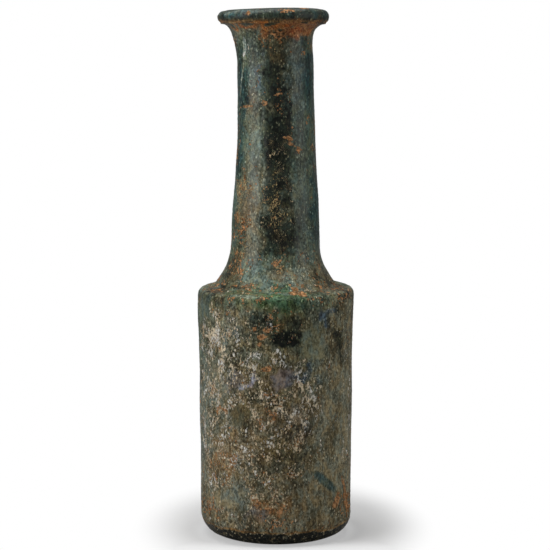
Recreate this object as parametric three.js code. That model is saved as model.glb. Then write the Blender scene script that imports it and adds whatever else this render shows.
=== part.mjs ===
import * as THREE from 'three';

// A blown glass bottle with a long tapering neck, a thick turned-out lip and a straight cylindrical body.
// Sizes are in millimetres. +Z is up and the origin is on the standing plane, under the body's axis.
// The glass is parted at the level seams where the maker's work changed: base, body wall, shoulder,
// neck and lip. The crusts of burial soil and scale are solids of their own that lie on the glass.

// Heights of the stages, from the standing plane up
const heelRise = 10;
const wallLength = 96;
const shoulderRise = 26.5;
const neckLength = 101.1;
const lipCrown = 0.6;

// Outside radii of the two tubes, and how far each end of them spreads or draws in
const bodyRadius = 35;
const heelDrawIn = 0.3;
const shoulderSpread = 0.6;
const neckRadius = 17.05;
const neckRootSpread = 3.15;

// Walls and floor
const bodyWall = 2.4;
const neckWall = 2.7;
const floorThickness = 3.6;

// Base
const heelInset = 9;
const standingRingWidth = 3.5;
const kickHeight = 6.5;
const innerHeelInset = 7;

// Body wall
const footTaperLength = 30;
const shoulderFlareLength = 36;

// Shoulder
const cornerRise = 4.8;
const cornerRadius = 3;
const shoulderSlope = THREE.MathUtils.degToRad(14);
const sweepReach = 7.4;
const sweepKneeRise = 18;

// Neck
const neckTaperLength = 61;
const lipFlareLength = 19.6;
const lipFlare = 4.5;
const flarePower = 2.6;
const mouthFlare = 1.6;

// Lip
const lipOverhang = 3.45;
const lipRollRadius = 2.9;
const lipCrestWidth = 3;
const mouthRounding = 1.6;

// Centre line of the hand-worked neck: how far along X it stands off the body's axis, and where
const neckBow = 0.45;
const neckBowRise = 57;
const neckBowEnd = 83;
const flareLean = -1.25;
const flareLeanRise = 99;
const lipLean = -0.85;

// Pontil scar: the broken ring that the iron left under the base
const scarRadius = 7;
const scarWidth = 2.4;
const scarDepth = 1.5;
const scarUnevenness = 0.5;
const scarSeatMargin = 1;

// Crusts: their distance off the glass, their thickness, and how tall the kinds of patch are
const crustSeat = 0.3;
const crustEdge = 0.2;
const crustThickness = 0.5;
const streakSize = 6;
const patchSize = 11;
const spreadSize = 17;
const sheetSize = 26;

// Facets
const turns = 48;
const scarTurns = 30;
const arcSteps = 6;
const longSteps = 5;
const crustRings = 3;
const crustSectors = 16;

const heelTopRadius = bodyRadius - heelDrawIn;
const shoulderRadius = bodyRadius + shoulderSpread;
const neckRootRadius = neckRadius + neckRootSpread;
const lipRadius = neckRadius + lipFlare + lipOverhang;
const lipHeight = 2 * lipRollRadius + lipCrown;
const pontilSeatRadius = scarRadius + scarSeatMargin;
const wallFoot = heelRise;
const wallTop = wallFoot + wallLength;
const neckFoot = wallTop + shoulderRise;
const neckTop = neckFoot + neckLength;
const lipTop = neckTop + lipHeight;

const glass = new THREE.MeshStandardMaterial({ name: 'glass', color: 0x2f443d, roughness: 0.4 });
const lipGlass = new THREE.MeshStandardMaterial({ name: 'lip_glass', color: 0x24403f, roughness: 0.3 });
const soil = new THREE.MeshStandardMaterial({ name: 'soil', color: 0x9c5a30, roughness: 0.95 });
const scale = new THREE.MeshStandardMaterial({ name: 'scale', color: 0xb9b29c, roughness: 0.85 });

// A ramp from 0 to 1 that starts and ends level.
function eased(t) {
  return THREE.MathUtils.smoothstep(t, 0, 1);
}

// Outside radius of the body wall at a height: narrower at the foot, wider under the shoulder.
function bodyOuter(z) {
  const drawnIn = heelDrawIn * (1 - eased((z - wallFoot) / footTaperLength));
  const spread = shoulderSpread * eased((z - wallTop + shoulderFlareLength) / shoulderFlareLength);
  return bodyRadius - drawnIn + spread;
}

// Outside radius of the neck at a height, without the flare under the lip.
function neckStem(z) {
  return neckRadius + neckRootSpread * (1 - eased((z - neckFoot) / neckTaperLength));
}

// How much of the flare under the lip is reached at a height, from 0 to 1.
function flareShare(z) {
  const t = THREE.MathUtils.clamp((z - neckTop + lipFlareLength) / lipFlareLength, 0, 1);
  return 1 - Math.sqrt(1 - t ** flarePower);
}

function neckOuter(z) {
  return neckStem(z) + lipFlare * flareShare(z);
}

function neckInner(z) {
  return neckStem(z) - neckWall + mouthFlare * flareShare(z);
}

// Height of the base's underside at a radius: the ring stands on the ground and the kick rises inside it.
function kickRise(r) {
  const ringInner = heelTopRadius - heelInset - standingRingWidth;
  return kickHeight * eased((ringInner - r) / (ringInner - pontilSeatRadius));
}

// Sideways place of the centre line at a height: straight in the body, bowed in the neck.
function centreLine(z) {
  const stations = [
    [neckFoot, 0],
    [neckFoot + neckBowRise, neckBow],
    [neckFoot + neckBowEnd, 0],
    [neckFoot + flareLeanRise, flareLean],
    [neckTop, lipLean],
  ];
  let offset = 0;
  for (let i = 1; i < stations.length; i += 1) {
    const [from, start] = stations[i - 1];
    const [to, end] = stations[i];
    if (z > from) offset = THREE.MathUtils.lerp(start, end, eased((z - from) / (to - from)));
  }
  return offset;
}

// Points on a radius formula between two heights, as (radius, height).
function levels(radiusAt, from, to, steps) {
  return Array.from({ length: steps + 1 }, (_, i) => {
    const z = THREE.MathUtils.lerp(from, to, i / steps);
    return new THREE.Vector2(radiusAt(z), z);
  });
}

// Points on a height formula between two radii, as (radius, height).
function spans(heightAt, from, to, steps) {
  return levels(heightAt, from, to, steps).map((p) => new THREE.Vector2(p.y, p.x));
}

// Points on part of an ellipse with its own two half-axes, as (radius, height).
function arc(centre, halfWidth, halfHeight, from, to, steps = arcSteps) {
  const curve = new THREE.EllipseCurve(centre.x, centre.y, halfWidth, halfHeight, from, to, from > to);
  return curve.getPoints(steps);
}

function withoutRepeats(points) {
  return points.filter((p, i) => i === 0 || p.distanceTo(points[i - 1]) > 1e-4);
}

// Turns a closed outline of (radius, height) points, given up the outside and down the inside.
// Heights are the vessel's. The mesh stands at its foot, and each level is carried to the centre line.
function turned(name, material, outline, foot) {
  const ring = withoutRepeats(outline);
  if (ring[0].x > 0) ring.push(ring[0].clone());
  const geometry = new THREE.LatheGeometry(ring, turns);
  geometry.rotateX(Math.PI / 2);
  geometry.translate(0, 0, -foot);
  const at = geometry.getAttribute('position');
  for (let i = 0; i < at.count; i += 1) at.setX(i, at.getX(i) + centreLine(at.getZ(i) + foot));
  const mesh = new THREE.Mesh(geometry, material);
  mesh.name = name;
  mesh.position.z = foot;
  return mesh;
}

// Outside of the base from the standing ring up round the heel.
function heelSide() {
  const centre = new THREE.Vector2(heelTopRadius - heelInset, heelRise);
  return arc(centre, heelInset, heelRise, -Math.PI / 2, 0);
}

// Base: rounded heel, flat standing ring, and a pushed-in kick with a flat seat for the pontil scar.
function makeBase() {
  const innerHeel = new THREE.Vector2(heelTopRadius - bodyWall - innerHeelInset, heelRise);
  const ringOuter = heelTopRadius - heelInset;
  const ringInner = ringOuter - standingRingWidth;
  const floor = (r) => floorThickness + kickRise(r);
  const outline = [
    new THREE.Vector2(0, kickHeight),
    ...spans(kickRise, pontilSeatRadius, ringInner, longSteps),
    ...heelSide(),
    ...arc(innerHeel, innerHeelInset, heelRise - floorThickness, 0, -Math.PI / 2),
    ...spans(floor, ringInner, pontilSeatRadius, longSteps),
    new THREE.Vector2(0, kickHeight + floorThickness),
  ];
  return turned('base', glass, outline, 0);
}

// Body wall: a straight tube with an even wall.
function makeBodyWall() {
  const outside = levels(bodyOuter, wallFoot, wallTop, longSteps * 2);
  const inside = levels((z) => bodyOuter(z) - bodyWall, wallTop, wallFoot, longSteps * 2);
  return turned('body_wall', glass, [...outside, ...inside], wallFoot);
}

// One side of the shoulder: tight corner, nearly level slope, crease, and a sweep up into the neck.
// The inner side is the same path set in by the wall, which thickens from the body's to the neck's.
function shoulderSide(inset = 0, rootInset = 0) {
  const side = shoulderRadius - inset;
  const cornerCentre = new THREE.Vector2(side - cornerRadius, wallTop + cornerRise - inset);
  const corner = arc(cornerCentre, cornerRadius, cornerRadius, 0, Math.PI / 2 - shoulderSlope);
  const cornerEnd = corner.at(-1);
  const crease = new THREE.Vector2(neckRootRadius + sweepReach - rootInset, 0);
  crease.y = cornerEnd.y + (cornerEnd.x - crease.x) * Math.tan(shoulderSlope);
  const knee = new THREE.Vector2(neckRootRadius - rootInset, wallTop + sweepKneeRise);
  const root = new THREE.Vector2(knee.x, neckFoot);
  const sweep = new THREE.QuadraticBezierCurve(crease, knee, root).getPoints(arcSteps);
  return [new THREE.Vector2(side, wallTop), ...corner, ...sweep];
}

function makeShoulder() {
  const outline = [...shoulderSide(), ...shoulderSide(bodyWall, neckWall).reverse()];
  return turned('shoulder', glass, outline, wallTop);
}

// One side of the neck from its foot to the lip, by a radius formula.
function neckSide(radiusAt) {
  const stemTop = neckTop - lipFlareLength;
  return [
    ...levels(radiusAt, neckFoot, stemTop, longSteps + 2),
    ...levels(radiusAt, stemTop, neckTop, arcSteps),
  ];
}

function makeNeck() {
  return turned('neck', glass, [...neckSide(neckOuter), ...neckSide(neckInner).reverse()], neckFoot);
}

// Lip: the turned-out edge, a solid roll seated on the neck's flat top, with a level crest round the mouth.
function makeLip() {
  const mouth = neckInner(neckTop);
  const crestInner = mouth + mouthRounding;
  const rollCentre = new THREE.Vector2(lipRadius - lipRollRadius, neckTop + lipRollRadius);
  const roundingCentre = new THREE.Vector2(crestInner, lipTop - mouthRounding);
  const outline = [
    new THREE.Vector2(mouth, neckTop),
    ...arc(rollCentre, lipRollRadius, lipRollRadius, -Math.PI / 2, Math.PI / 2, arcSteps * 2),
    new THREE.Vector2(crestInner + lipCrestWidth, lipTop),
    ...arc(roundingCentre, mouthRounding, mouthRounding, Math.PI / 2, Math.PI, longSteps),
  ];
  return turned('lip', lipGlass, outline, neckTop);
}

// Pontil scar: a ring of chipped glass with an uneven free edge, on the flat seat inside the kick.
function makePontilScar() {
  const bevel = scarWidth * 0.3;
  const inner = scarRadius - scarWidth;
  const outline = [
    new THREE.Vector2(inner, 0),
    new THREE.Vector2(inner + bevel, -scarDepth),
    new THREE.Vector2(scarRadius - bevel, -scarDepth),
    new THREE.Vector2(scarRadius, 0),
    new THREE.Vector2(inner, 0),
  ];
  const geometry = new THREE.LatheGeometry(outline, scarTurns);
  geometry.rotateX(Math.PI / 2);
  const at = geometry.getAttribute('position');
  for (let i = 0; i < at.count; i += 1) {
    const azimuth = Math.atan2(at.getY(i), at.getX(i));
    const chip = 0.5 + 0.5 * Math.sin(3 * azimuth) * Math.cos(5 * azimuth);
    at.setZ(i, at.getZ(i) * (1 - scarUnevenness * chip));
  }
  const mesh = new THREE.Mesh(geometry, lipGlass);
  mesh.name = 'pontil_scar';
  mesh.position.z = kickHeight;
  return mesh;
}

// The outside of the vessel from the standing ring to the lip's underside, walked by distance.
const skin = withoutRepeats([
  ...heelSide(),
  ...levels(bodyOuter, wallFoot, wallTop, longSteps * 2),
  ...shoulderSide(),
  ...neckSide(neckOuter),
]);

// Distance walked along the outside to reach a height.
function walkTo(height) {
  let walked = 0;
  for (let i = 1; i < skin.length; i += 1) {
    const step = skin[i].distanceTo(skin[i - 1]);
    const share = (height - skin[i - 1].y) / (skin[i].y - skin[i - 1].y);
    if (share <= 1) return walked + step * share;
    walked += step;
  }
  return walked;
}

// A place on the outside: how far it is walked up from the standing ring, its azimuth, and how far
// it stands off the glass. Azimuth is in degrees from the front, which faces -Y, and grows towards +X.
function placeOn(distance, azimuth, off) {
  let walked = 0;
  let i = 1;
  while (i < skin.length - 1 && walked + skin[i].distanceTo(skin[i - 1]) < distance) {
    walked += skin[i].distanceTo(skin[i - 1]);
    i += 1;
  }
  const along = skin[i].clone().sub(skin[i - 1]).normalize();
  const spot = skin[i - 1].clone().addScaledVector(along, distance - walked);
  const centre = centreLine(spot.y);
  spot.addScaledVector(new THREE.Vector2(along.y, -along.x), off);
  const turn = THREE.MathUtils.degToRad(azimuth);
  return [spot.x * Math.sin(turn) + centre, -spot.x * Math.cos(turn), spot.y];
}

// One crust: an uneven blister over a patch of the glass, thickest near its middle. It is centred on
// a share of the way up a stage and on an azimuth, wide in degrees and tall along the glass.
// Lobes shape its edge, and drift is how many degrees its upper end lies round from its lower end.
function makeCrust(material, { name, on, up, azimuth, wide, tall, lobes, drift = 0 }) {
  const centre = walkTo(THREE.MathUtils.lerp(...on, up));
  const positions = [];
  const faces = [];
  const skinSize = 1 + crustRings * crustSectors;
  const addPlace = (share, sector, off) => {
    const turn = (2 * Math.PI * sector) / crustSectors;
    const reach = 0.5 * share * (1 + 0.2 * Math.sin(lobes * turn) + 0.12 * Math.cos((lobes + 2) * turn));
    const across = reach * Math.cos(turn);
    const along = reach * Math.sin(turn);
    positions.push(...placeOn(centre + along * tall, azimuth + across * wide + along * drift, off));
  };
  const addSkin = (offAt) => {
    addPlace(0, 0, offAt(0));
    for (let ring = 1; ring <= crustRings; ring += 1) {
      const share = ring / crustRings;
      for (let sector = 0; sector < crustSectors; sector += 1) addPlace(share, sector, offAt(share));
    }
  };
  const vertex = (under, ring, sector) =>
    under * skinSize + (ring === 0 ? 0 : 1 + (ring - 1) * crustSectors + (sector % crustSectors));
  addSkin((share) => crustSeat + crustEdge + (crustThickness - crustEdge) * (1 - share ** 2));
  addSkin(() => crustSeat);
  for (let sector = 0; sector < crustSectors; sector += 1) {
    for (const under of [0, 1]) {
      const [left, right] = under ? [sector + 1, sector] : [sector, sector + 1];
      faces.push(vertex(under, 0, 0), vertex(under, 1, left), vertex(under, 1, right));
      for (let ring = 1; ring < crustRings; ring += 1) {
        const [near, far] = [vertex(under, ring, left), vertex(under, ring + 1, left)];
        const [nearNext, farNext] = [vertex(under, ring, right), vertex(under, ring + 1, right)];
        faces.push(near, far, farNext, near, farNext, nearNext);
      }
    }
    const [top, topNext] = [vertex(0, crustRings, sector), vertex(0, crustRings, sector + 1)];
    const [seat, seatNext] = [vertex(1, crustRings, sector), vertex(1, crustRings, sector + 1)];
    faces.push(top, seat, seatNext, top, seatNext, topNext);
  }
  const geometry = new THREE.BufferGeometry();
  geometry.setAttribute('position', new THREE.Float32BufferAttribute(positions, 3));
  geometry.setIndex(faces);
  geometry.computeVertexNormals();
  const mesh = new THREE.Mesh(geometry, material);
  mesh.name = name;
  return mesh;
}

const wall = [wallFoot, wallTop];
const sweep = [wallTop + cornerRise, neckFoot];
const stem = [neckFoot, neckTop];

// Rust-orange burial soil
const soils = [
  { name: 'soil_under_lip', on: stem, up: 0.965, azimuth: 8, wide: 92, tall: streakSize, lobes: 5 },
  { name: 'soil_neck_streak', on: stem, up: 0.44, azimuth: 28, wide: 30, tall: streakSize, lobes: 3, drift: -14 },
  { name: 'soil_neck_foot', on: stem, up: 0.08, azimuth: -52, wide: 40, tall: spreadSize, lobes: 4, drift: 12 },
  { name: 'soil_shoulder', on: sweep, up: 0.31, azimuth: 46, wide: 30, tall: patchSize, lobes: 3 },
  { name: 'soil_low_front', on: wall, up: 0.02, azimuth: -4, wide: 48, tall: patchSize, lobes: 4 },
  { name: 'soil_heel_right', on: wall, up: 0.06, azimuth: 66, wide: 30, tall: spreadSize, lobes: 3, drift: -10 },
  { name: 'soil_heel_left', on: wall, up: 0.04, azimuth: -66, wide: 30, tall: patchSize, lobes: 5 },
  { name: 'soil_back_neck', on: stem, up: 0.94, azimuth: 172, wide: 60, tall: streakSize, lobes: 4 },
  { name: 'soil_back_foot', on: wall, up: 0.08, azimuth: -152, wide: 50, tall: spreadSize, lobes: 5 },
];

// Pale weathering scale
const scales = [
  { name: 'scale_upper_body', on: wall, up: 0.84, azimuth: -62, wide: 30, tall: sheetSize, lobes: 4 },
  { name: 'scale_mid_body', on: wall, up: 0.69, azimuth: -20, wide: 34, tall: sheetSize, lobes: 3, drift: 10 },
  { name: 'scale_low_body', on: wall, up: 0.36, azimuth: -34, wide: 58, tall: patchSize, lobes: 5, drift: 6 },
  { name: 'scale_back_body', on: wall, up: 0.6, azimuth: 158, wide: 46, tall: sheetSize, lobes: 4, drift: -8 },
];

const vessel = new THREE.Group();
vessel.name = 'glass_vessel';
vessel.add(makeBase(), makeBodyWall(), makeShoulder(), makeNeck(), makeLip(), makePontilScar());
for (const crust of soils) vessel.add(makeCrust(soil, crust));
for (const crust of scales) vessel.add(makeCrust(scale, crust));

export default vessel;
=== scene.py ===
"""Looks of a weathered blown glass bottle: its glass, its burial crusts, the studio light and the floor."""

import logging
import math
from dataclasses import dataclass, field
from enum import Enum
from functools import partial, reduce
from typing import Callable

import bmesh
import bpy
import numpy as np
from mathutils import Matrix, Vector


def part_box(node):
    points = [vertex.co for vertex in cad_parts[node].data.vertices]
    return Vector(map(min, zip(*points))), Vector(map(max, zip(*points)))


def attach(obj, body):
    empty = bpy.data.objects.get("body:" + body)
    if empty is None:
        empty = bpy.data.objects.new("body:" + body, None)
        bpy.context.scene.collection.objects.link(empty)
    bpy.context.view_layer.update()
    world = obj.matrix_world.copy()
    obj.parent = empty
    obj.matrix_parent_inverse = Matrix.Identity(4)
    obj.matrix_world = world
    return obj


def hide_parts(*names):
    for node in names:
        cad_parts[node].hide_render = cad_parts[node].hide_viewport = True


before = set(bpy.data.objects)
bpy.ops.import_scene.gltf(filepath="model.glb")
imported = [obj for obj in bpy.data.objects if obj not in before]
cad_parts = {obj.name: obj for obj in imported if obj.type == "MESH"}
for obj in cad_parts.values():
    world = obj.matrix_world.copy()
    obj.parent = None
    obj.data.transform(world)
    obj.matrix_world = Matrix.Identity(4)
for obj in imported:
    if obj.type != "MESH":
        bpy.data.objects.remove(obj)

LOG = logging.getLogger("glass_bottle")
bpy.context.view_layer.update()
MM = 0.001
BODY = "root"
WHITE = (1.0, 1.0, 1.0)

# How many points stand for an arc, for another curve and for a run of levels
ARC_POINTS = 40
CURVE_POINTS = 24
LEVEL_POINTS = 160
LEVEL_CROWDING = 1.6

# In millimetres: within what reach points are joined, and what the radius counts as at the axis
SEAM_REACH = 2e-3
LEAST_RADIUS = 4.0

Colour = tuple[float, float, float]
Socket = bpy.types.NodeSocket
Feed = bpy.types.NodeSocket | float | tuple


def srgb(red: int, green: int, blue: int) -> Colour:
    """The linear colour of one as it looks on a screen, with channels from 0 to 255."""
    shares = (channel / 255 for channel in (red, green, blue))
    return tuple(share / 12.92 if share <= 0.04045 else ((share + 0.055) / 1.055) ** 2.4 for share in shares)


def eased(value: np.ndarray | float) -> np.ndarray | float:
    """A ramp from 0 to 1, as the value goes from 0 to 1, that starts and ends level."""
    share = np.clip(value, 0.0, 1.0)
    return share * share * (3.0 - 2.0 * share)


def zone(value: np.ndarray, start: float, rise: float, end: float, fall: float) -> np.ndarray:
    """Rises from 0 to 1 after a start, and falls back to 0 before an end."""
    return eased((value - start) / rise) * eased((end - value) / fall)


def bell(value: np.ndarray, middle: np.ndarray | float, width: float) -> np.ndarray:
    """A bell curve that is 1 in its middle, and about a third at its width from there."""
    return np.exp(-(((value - middle) / width) ** 2))


def read(items: bpy.types.bpy_prop_collection, name: str, kind: type = float, width: int = 1) -> np.ndarray:
    """Reads a property of a mesh's points, corners or faces.

    Args:
        items: The points, corners or faces, or an attribute's data.
        name: The property's name.
        kind: The type of its numbers.
        width: How many numbers each item has.

    Returns:
        One value an item, or one row where it has more numbers.
    """
    values = np.zeros(len(items) * width, dtype=kind)
    items.foreach_get(name, values)
    return values if width == 1 else values.reshape(-1, width)


def make_piece(bm: bmesh.types.BMesh, name: str) -> bpy.types.Object:
    """Puts a mesh in the scene as a smoothly shaded piece.

    Args:
        bm: The mesh in metres, which is freed.
        name: The piece's name.

    Returns:
        The piece.
    """
    mesh = bpy.data.meshes.new(name)
    bm.to_mesh(mesh)
    bm.free()
    mesh.polygons.foreach_set("use_smooth", np.ones(len(mesh.polygons), dtype=bool))
    piece = bpy.data.objects.new(name, mesh)
    bpy.context.scene.collection.objects.link(piece)
    return piece


class Stage(Enum):
    """The stages of the glass, each a piece of its own, with the name of the solid it stands for."""

    BASE = "base"
    BODY_WALL = "body_wall"
    SHOULDER = "shoulder"
    NECK = "neck"
    LIP = "lip"


class Slot(Enum):
    """The record's material slots."""

    BODY_GLASS = "body_glass"
    LIP_GLASS = "lip_glass"
    SOIL = "soil"
    SCALE = "scale"


# Form


@dataclass(frozen=True)
class BottleForm:
    """The turned form of the bottle, in millimetres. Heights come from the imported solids."""

    wall_foot: float
    wall_top: float
    neck_foot: float
    neck_top: float
    lip_top: float
    body_radius: float = 35.0
    heel_draw_in: float = 0.3
    shoulder_spread: float = 0.6
    neck_radius: float = 17.05
    neck_root_spread: float = 3.1
    body_wall: float = 2.4
    neck_wall: float = 2.7
    floor_thickness: float = 3.6
    heel_inset: float = 9.0
    standing_ring_width: float = 3.5
    kick_height: float = 6.5
    scar_seat_radius: float = 8.0
    inner_heel_inset: float = 7.0
    foot_taper_length: float = 30.0
    shoulder_flare_length: float = 36.0
    corner_rise: float = 4.8
    corner_radius: float = 3.0
    shoulder_slope: float = math.radians(14.0)
    sweep_reach: float = 7.4
    sweep_knee_rise: float = 18.0
    neck_taper_length: float = 61.0
    lip_flare_length: float = 19.6
    lip_flare: float = 4.5
    flare_power: float = 2.6
    mouth_flare: float = 1.6
    lip_overhang: float = 3.45
    lip_roll_radius: float = 2.9
    lip_crest_width: float = 3.0
    mouth_rounding: float = 1.6

    @classmethod
    def from_solids(cls) -> "BottleForm":
        """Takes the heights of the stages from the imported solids.

        Returns:
            The form.
        """
        tops = {stage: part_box(stage.value)[1].z / MM for stage in Stage}
        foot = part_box(Stage.BODY_WALL.value)[0].z / MM
        return cls(
            wall_foot=foot,
            wall_top=tops[Stage.BODY_WALL],
            neck_foot=tops[Stage.SHOULDER],
            neck_top=tops[Stage.NECK],
            lip_top=tops[Stage.LIP],
        )

    @property
    def heel_top_radius(self) -> float:
        """Outside radius where the heel meets the body wall."""
        return self.body_radius - self.heel_draw_in

    @property
    def ring_outer(self) -> float:
        """Outside radius of the flat standing ring."""
        return self.heel_top_radius - self.heel_inset

    @property
    def ring_inner(self) -> float:
        """Inside radius of the flat standing ring."""
        return self.ring_outer - self.standing_ring_width

    def body_outer(self, height: np.ndarray) -> np.ndarray:
        """Outside radius of the body wall.

        Args:
            height: The heights.

        Returns:
            One radius a height.
        """
        drawn = self.heel_draw_in * (1 - eased((height - self.wall_foot) / self.foot_taper_length))
        flare_foot = self.wall_top - self.shoulder_flare_length
        spread = self.shoulder_spread * eased((height - flare_foot) / self.shoulder_flare_length)
        return self.body_radius - drawn + spread

    def neck_stem(self, height: np.ndarray) -> np.ndarray:
        """Outside radius of the neck at a height, without the flare under the lip."""
        taper = 1 - eased((height - self.neck_foot) / self.neck_taper_length)
        return self.neck_radius + self.neck_root_spread * taper

    def flare_share(self, height: np.ndarray) -> np.ndarray:
        """How much of the flare under the lip is reached.

        Args:
            height: The heights.

        Returns:
            One share a height.
        """
        foot = self.neck_top - self.lip_flare_length
        share = np.clip((height - foot) / self.lip_flare_length, 0.0, 1.0)
        return 1 - np.sqrt(1 - share**self.flare_power)

    def neck_outer(self, height: np.ndarray) -> np.ndarray:
        """Outside radius of the neck at a height."""
        return self.neck_stem(height) + self.lip_flare * self.flare_share(height)

    def neck_inner(self, height: np.ndarray) -> np.ndarray:
        """Bore radius of the neck at a height."""
        return self.neck_stem(height) - self.neck_wall + self.mouth_flare * self.flare_share(height)

    def kick(self, radius: np.ndarray) -> np.ndarray:
        """Height of the underside at a radius: level on the ring, rising to the scar's seat."""
        reach = self.ring_inner - self.scar_seat_radius
        return self.kick_height * eased((self.ring_inner - radius) / reach)

    def centre_line(self, height: np.ndarray) -> np.ndarray:
        """Sideways place of the hand-worked bottle's centre.

        Args:
            height: The heights.

        Returns:
            One place a height.
        """
        on_neck = ((0.0, 0.0), (57.0, 0.45), (83.0, 0.0), (98.0, -1.3))
        stations = (
            *((0.0, 0.6), (12.0, 0.0), (50.0, 0.3), (self.wall_top, 0.15)),
            *((self.neck_foot + up, aside) for up, aside in on_neck),
            *((self.neck_top, -1.0), (self.neck_top + 3.0, -1.05)),
        )
        offset = np.full_like(height, stations[0][1])
        for (low, start), (high, end) in zip(stations, stations[1:]):
            share = eased((height - low) / (high - low))
            offset = np.where(height > low, start + (end - start) * share, offset)
        return offset

    def shoulder_side(self, inset: float, root_inset: float) -> np.ndarray:
        """One side of the shoulder from the wall's top to the neck's foot.

        Args:
            inset: How far the side is set in from the outside at the body.
            root_inset: How far it is set in at the neck.

        Returns:
            Points as (radius, height).
        """
        side = self.body_radius + self.shoulder_spread - inset
        centre = (side - self.corner_radius, self.wall_top + self.corner_rise - inset)
        corner = arc(centre, self.corner_radius, self.corner_radius, 0.0, math.pi / 2 - self.shoulder_slope)
        root = self.neck_radius + self.neck_root_spread - root_inset
        crease = root + self.sweep_reach
        crease_height = corner[-1, 1] + (corner[-1, 0] - crease) * math.tan(self.shoulder_slope)
        share = np.linspace(0.0, 1.0, CURVE_POINTS)[:, None]
        knee = (root, self.wall_top + self.sweep_knee_rise)
        start, middle, end = np.array([(crease, crease_height), knee, (root, self.neck_foot)])
        sweep = (1 - share) ** 2 * start + 2 * share * (1 - share) * middle + share**2 * end
        return np.vstack([[(side, self.wall_top)], corner, sweep])

    def outside(self, stage: Stage) -> np.ndarray:
        """The outside of one stage, walked upwards from the middle of the underside to the mouth.

        Args:
            stage: The stage of the glass.

        Returns:
            Points as (radius, height).
        """
        if stage is Stage.BASE:
            under = np.linspace(self.scar_seat_radius, self.ring_inner, CURVE_POINTS)
            heel = arc((self.ring_outer, self.wall_foot), self.heel_inset, self.wall_foot, -math.pi / 2, 0.0)
            return np.vstack([[(0.0, self.kick_height)], np.column_stack([under, self.kick(under)]), heel])
        if stage is Stage.BODY_WALL:
            return levels(self.body_outer, self.wall_foot, self.wall_top)
        if stage is Stage.SHOULDER:
            return self.shoulder_side(0.0, 0.0)
        if stage is Stage.NECK:
            return levels(self.neck_outer, self.neck_foot, self.neck_top)
        mouth = float(self.neck_inner(np.array(self.neck_top)))
        roll_out = self.neck_radius + self.lip_flare + self.lip_overhang - self.lip_roll_radius
        roll_centre = (roll_out, self.neck_top + self.lip_roll_radius)
        roll = arc(roll_centre, self.lip_roll_radius, self.lip_roll_radius, -math.pi / 2, math.pi / 2)
        crest_inner = mouth + self.mouth_rounding
        rounding_centre = (crest_inner, self.lip_top - self.mouth_rounding)
        rounding = arc(rounding_centre, self.mouth_rounding, self.mouth_rounding, math.pi / 2, math.pi)
        crest = [(crest_inner + self.lip_crest_width, self.lip_top)]
        start = [(float(self.neck_outer(np.array(self.neck_top))), self.neck_top)]
        return np.vstack([start, roll, crest, rounding, [(mouth, self.neck_top)]])

    def inside(self, stage: Stage) -> np.ndarray:
        """The inside of one stage, walked downwards from the mouth to the middle of the floor.

        Args:
            stage: The stage of the glass. The lip has no inside of its own.

        Returns:
            Points as (radius, height).
        """
        if stage is Stage.NECK:
            return levels(self.neck_inner, self.neck_foot, self.neck_top)[::-1]
        if stage is Stage.SHOULDER:
            return self.shoulder_side(self.body_wall, self.neck_wall)[::-1]
        if stage is Stage.BODY_WALL:
            wall = levels(self.body_outer, self.wall_foot, self.wall_top)
            return (wall - (self.body_wall, 0.0))[::-1]
        heel_centre = (self.heel_top_radius - self.body_wall - self.inner_heel_inset, self.wall_foot)
        rise = self.wall_foot - self.floor_thickness
        heel = arc(heel_centre, self.inner_heel_inset, rise, 0.0, -math.pi / 2)
        over = np.linspace(self.ring_inner, self.scar_seat_radius, CURVE_POINTS)
        floor = np.column_stack([over, self.kick(over) + self.floor_thickness])
        return np.vstack([heel, floor, [(0.0, self.kick_height + self.floor_thickness)]])


def arc(
    centre: tuple[float, float], half_width: float, half_height: float, start: float, end: float
) -> np.ndarray:
    """Points on part of an ellipse from one angle to another, as (radius, height)."""
    turn = np.linspace(start, end, ARC_POINTS)
    return np.column_stack([centre[0] + half_width * np.cos(turn), centre[1] + half_height * np.sin(turn)])


def levels(radius_at: Callable[[np.ndarray], np.ndarray], low: float, high: float) -> np.ndarray:
    """Points as (radius, height) between two heights, closer together towards the upper one."""
    height = high - (high - low) * np.linspace(1.0, 0.0, LEVEL_POINTS) ** LEVEL_CROWDING
    return np.column_stack([radius_at(height), height])


def evenly(points: np.ndarray, step: float) -> np.ndarray:
    """Spaces a run of points evenly along itself, with both ends kept.

    Args:
        points: Points as (radius, height).
        step: The largest distance between two neighbours.

    Returns:
        Points as (radius, height).
    """
    lengths = np.linalg.norm(np.diff(points, axis=0), axis=1)
    walked = np.concatenate([[0.0], np.cumsum(lengths)])
    count = max(2, int(math.ceil(walked[-1] / step)) + 1)
    at = np.linspace(0.0, walked[-1], count)
    return np.column_stack([np.interp(at, walked, points[:, 0]), np.interp(at, walked, points[:, 1])])


def turn_round(bm: bmesh.types.BMesh, outline: list, turns: int, wedges: int = 12) -> None:
    """Turns an outline about the upright axis: one wedge first, which is then repeated all the way round.

    Args:
        bm: The mesh, in millimetres, changed in place.
        outline: The outline's points and edges.
        turns: How many columns there are round the axis, a multiple of the wedges.
        wedges: How many wedges make the ring.
    """
    about = {"cent": (0, 0, 0), "axis": (0, 0, 1), "dvec": (0, 0, 0), "use_merge": False}
    wedge = 2 * math.pi / wedges
    bmesh.ops.spin(bm, geom=outline, angle=wedge, steps=turns // wedges, use_duplicate=False, **about)
    whole = bm.verts[:] + bm.edges[:] + bm.faces[:]
    bmesh.ops.spin(bm, geom=whole, angle=wedge * (wedges - 1), steps=wedges - 1, use_duplicate=True, **about)
    bmesh.ops.remove_doubles(bm, verts=bm.verts, dist=SEAM_REACH)
    bmesh.ops.recalc_face_normals(bm, faces=bm.faces)


# Uneven surfaces


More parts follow.
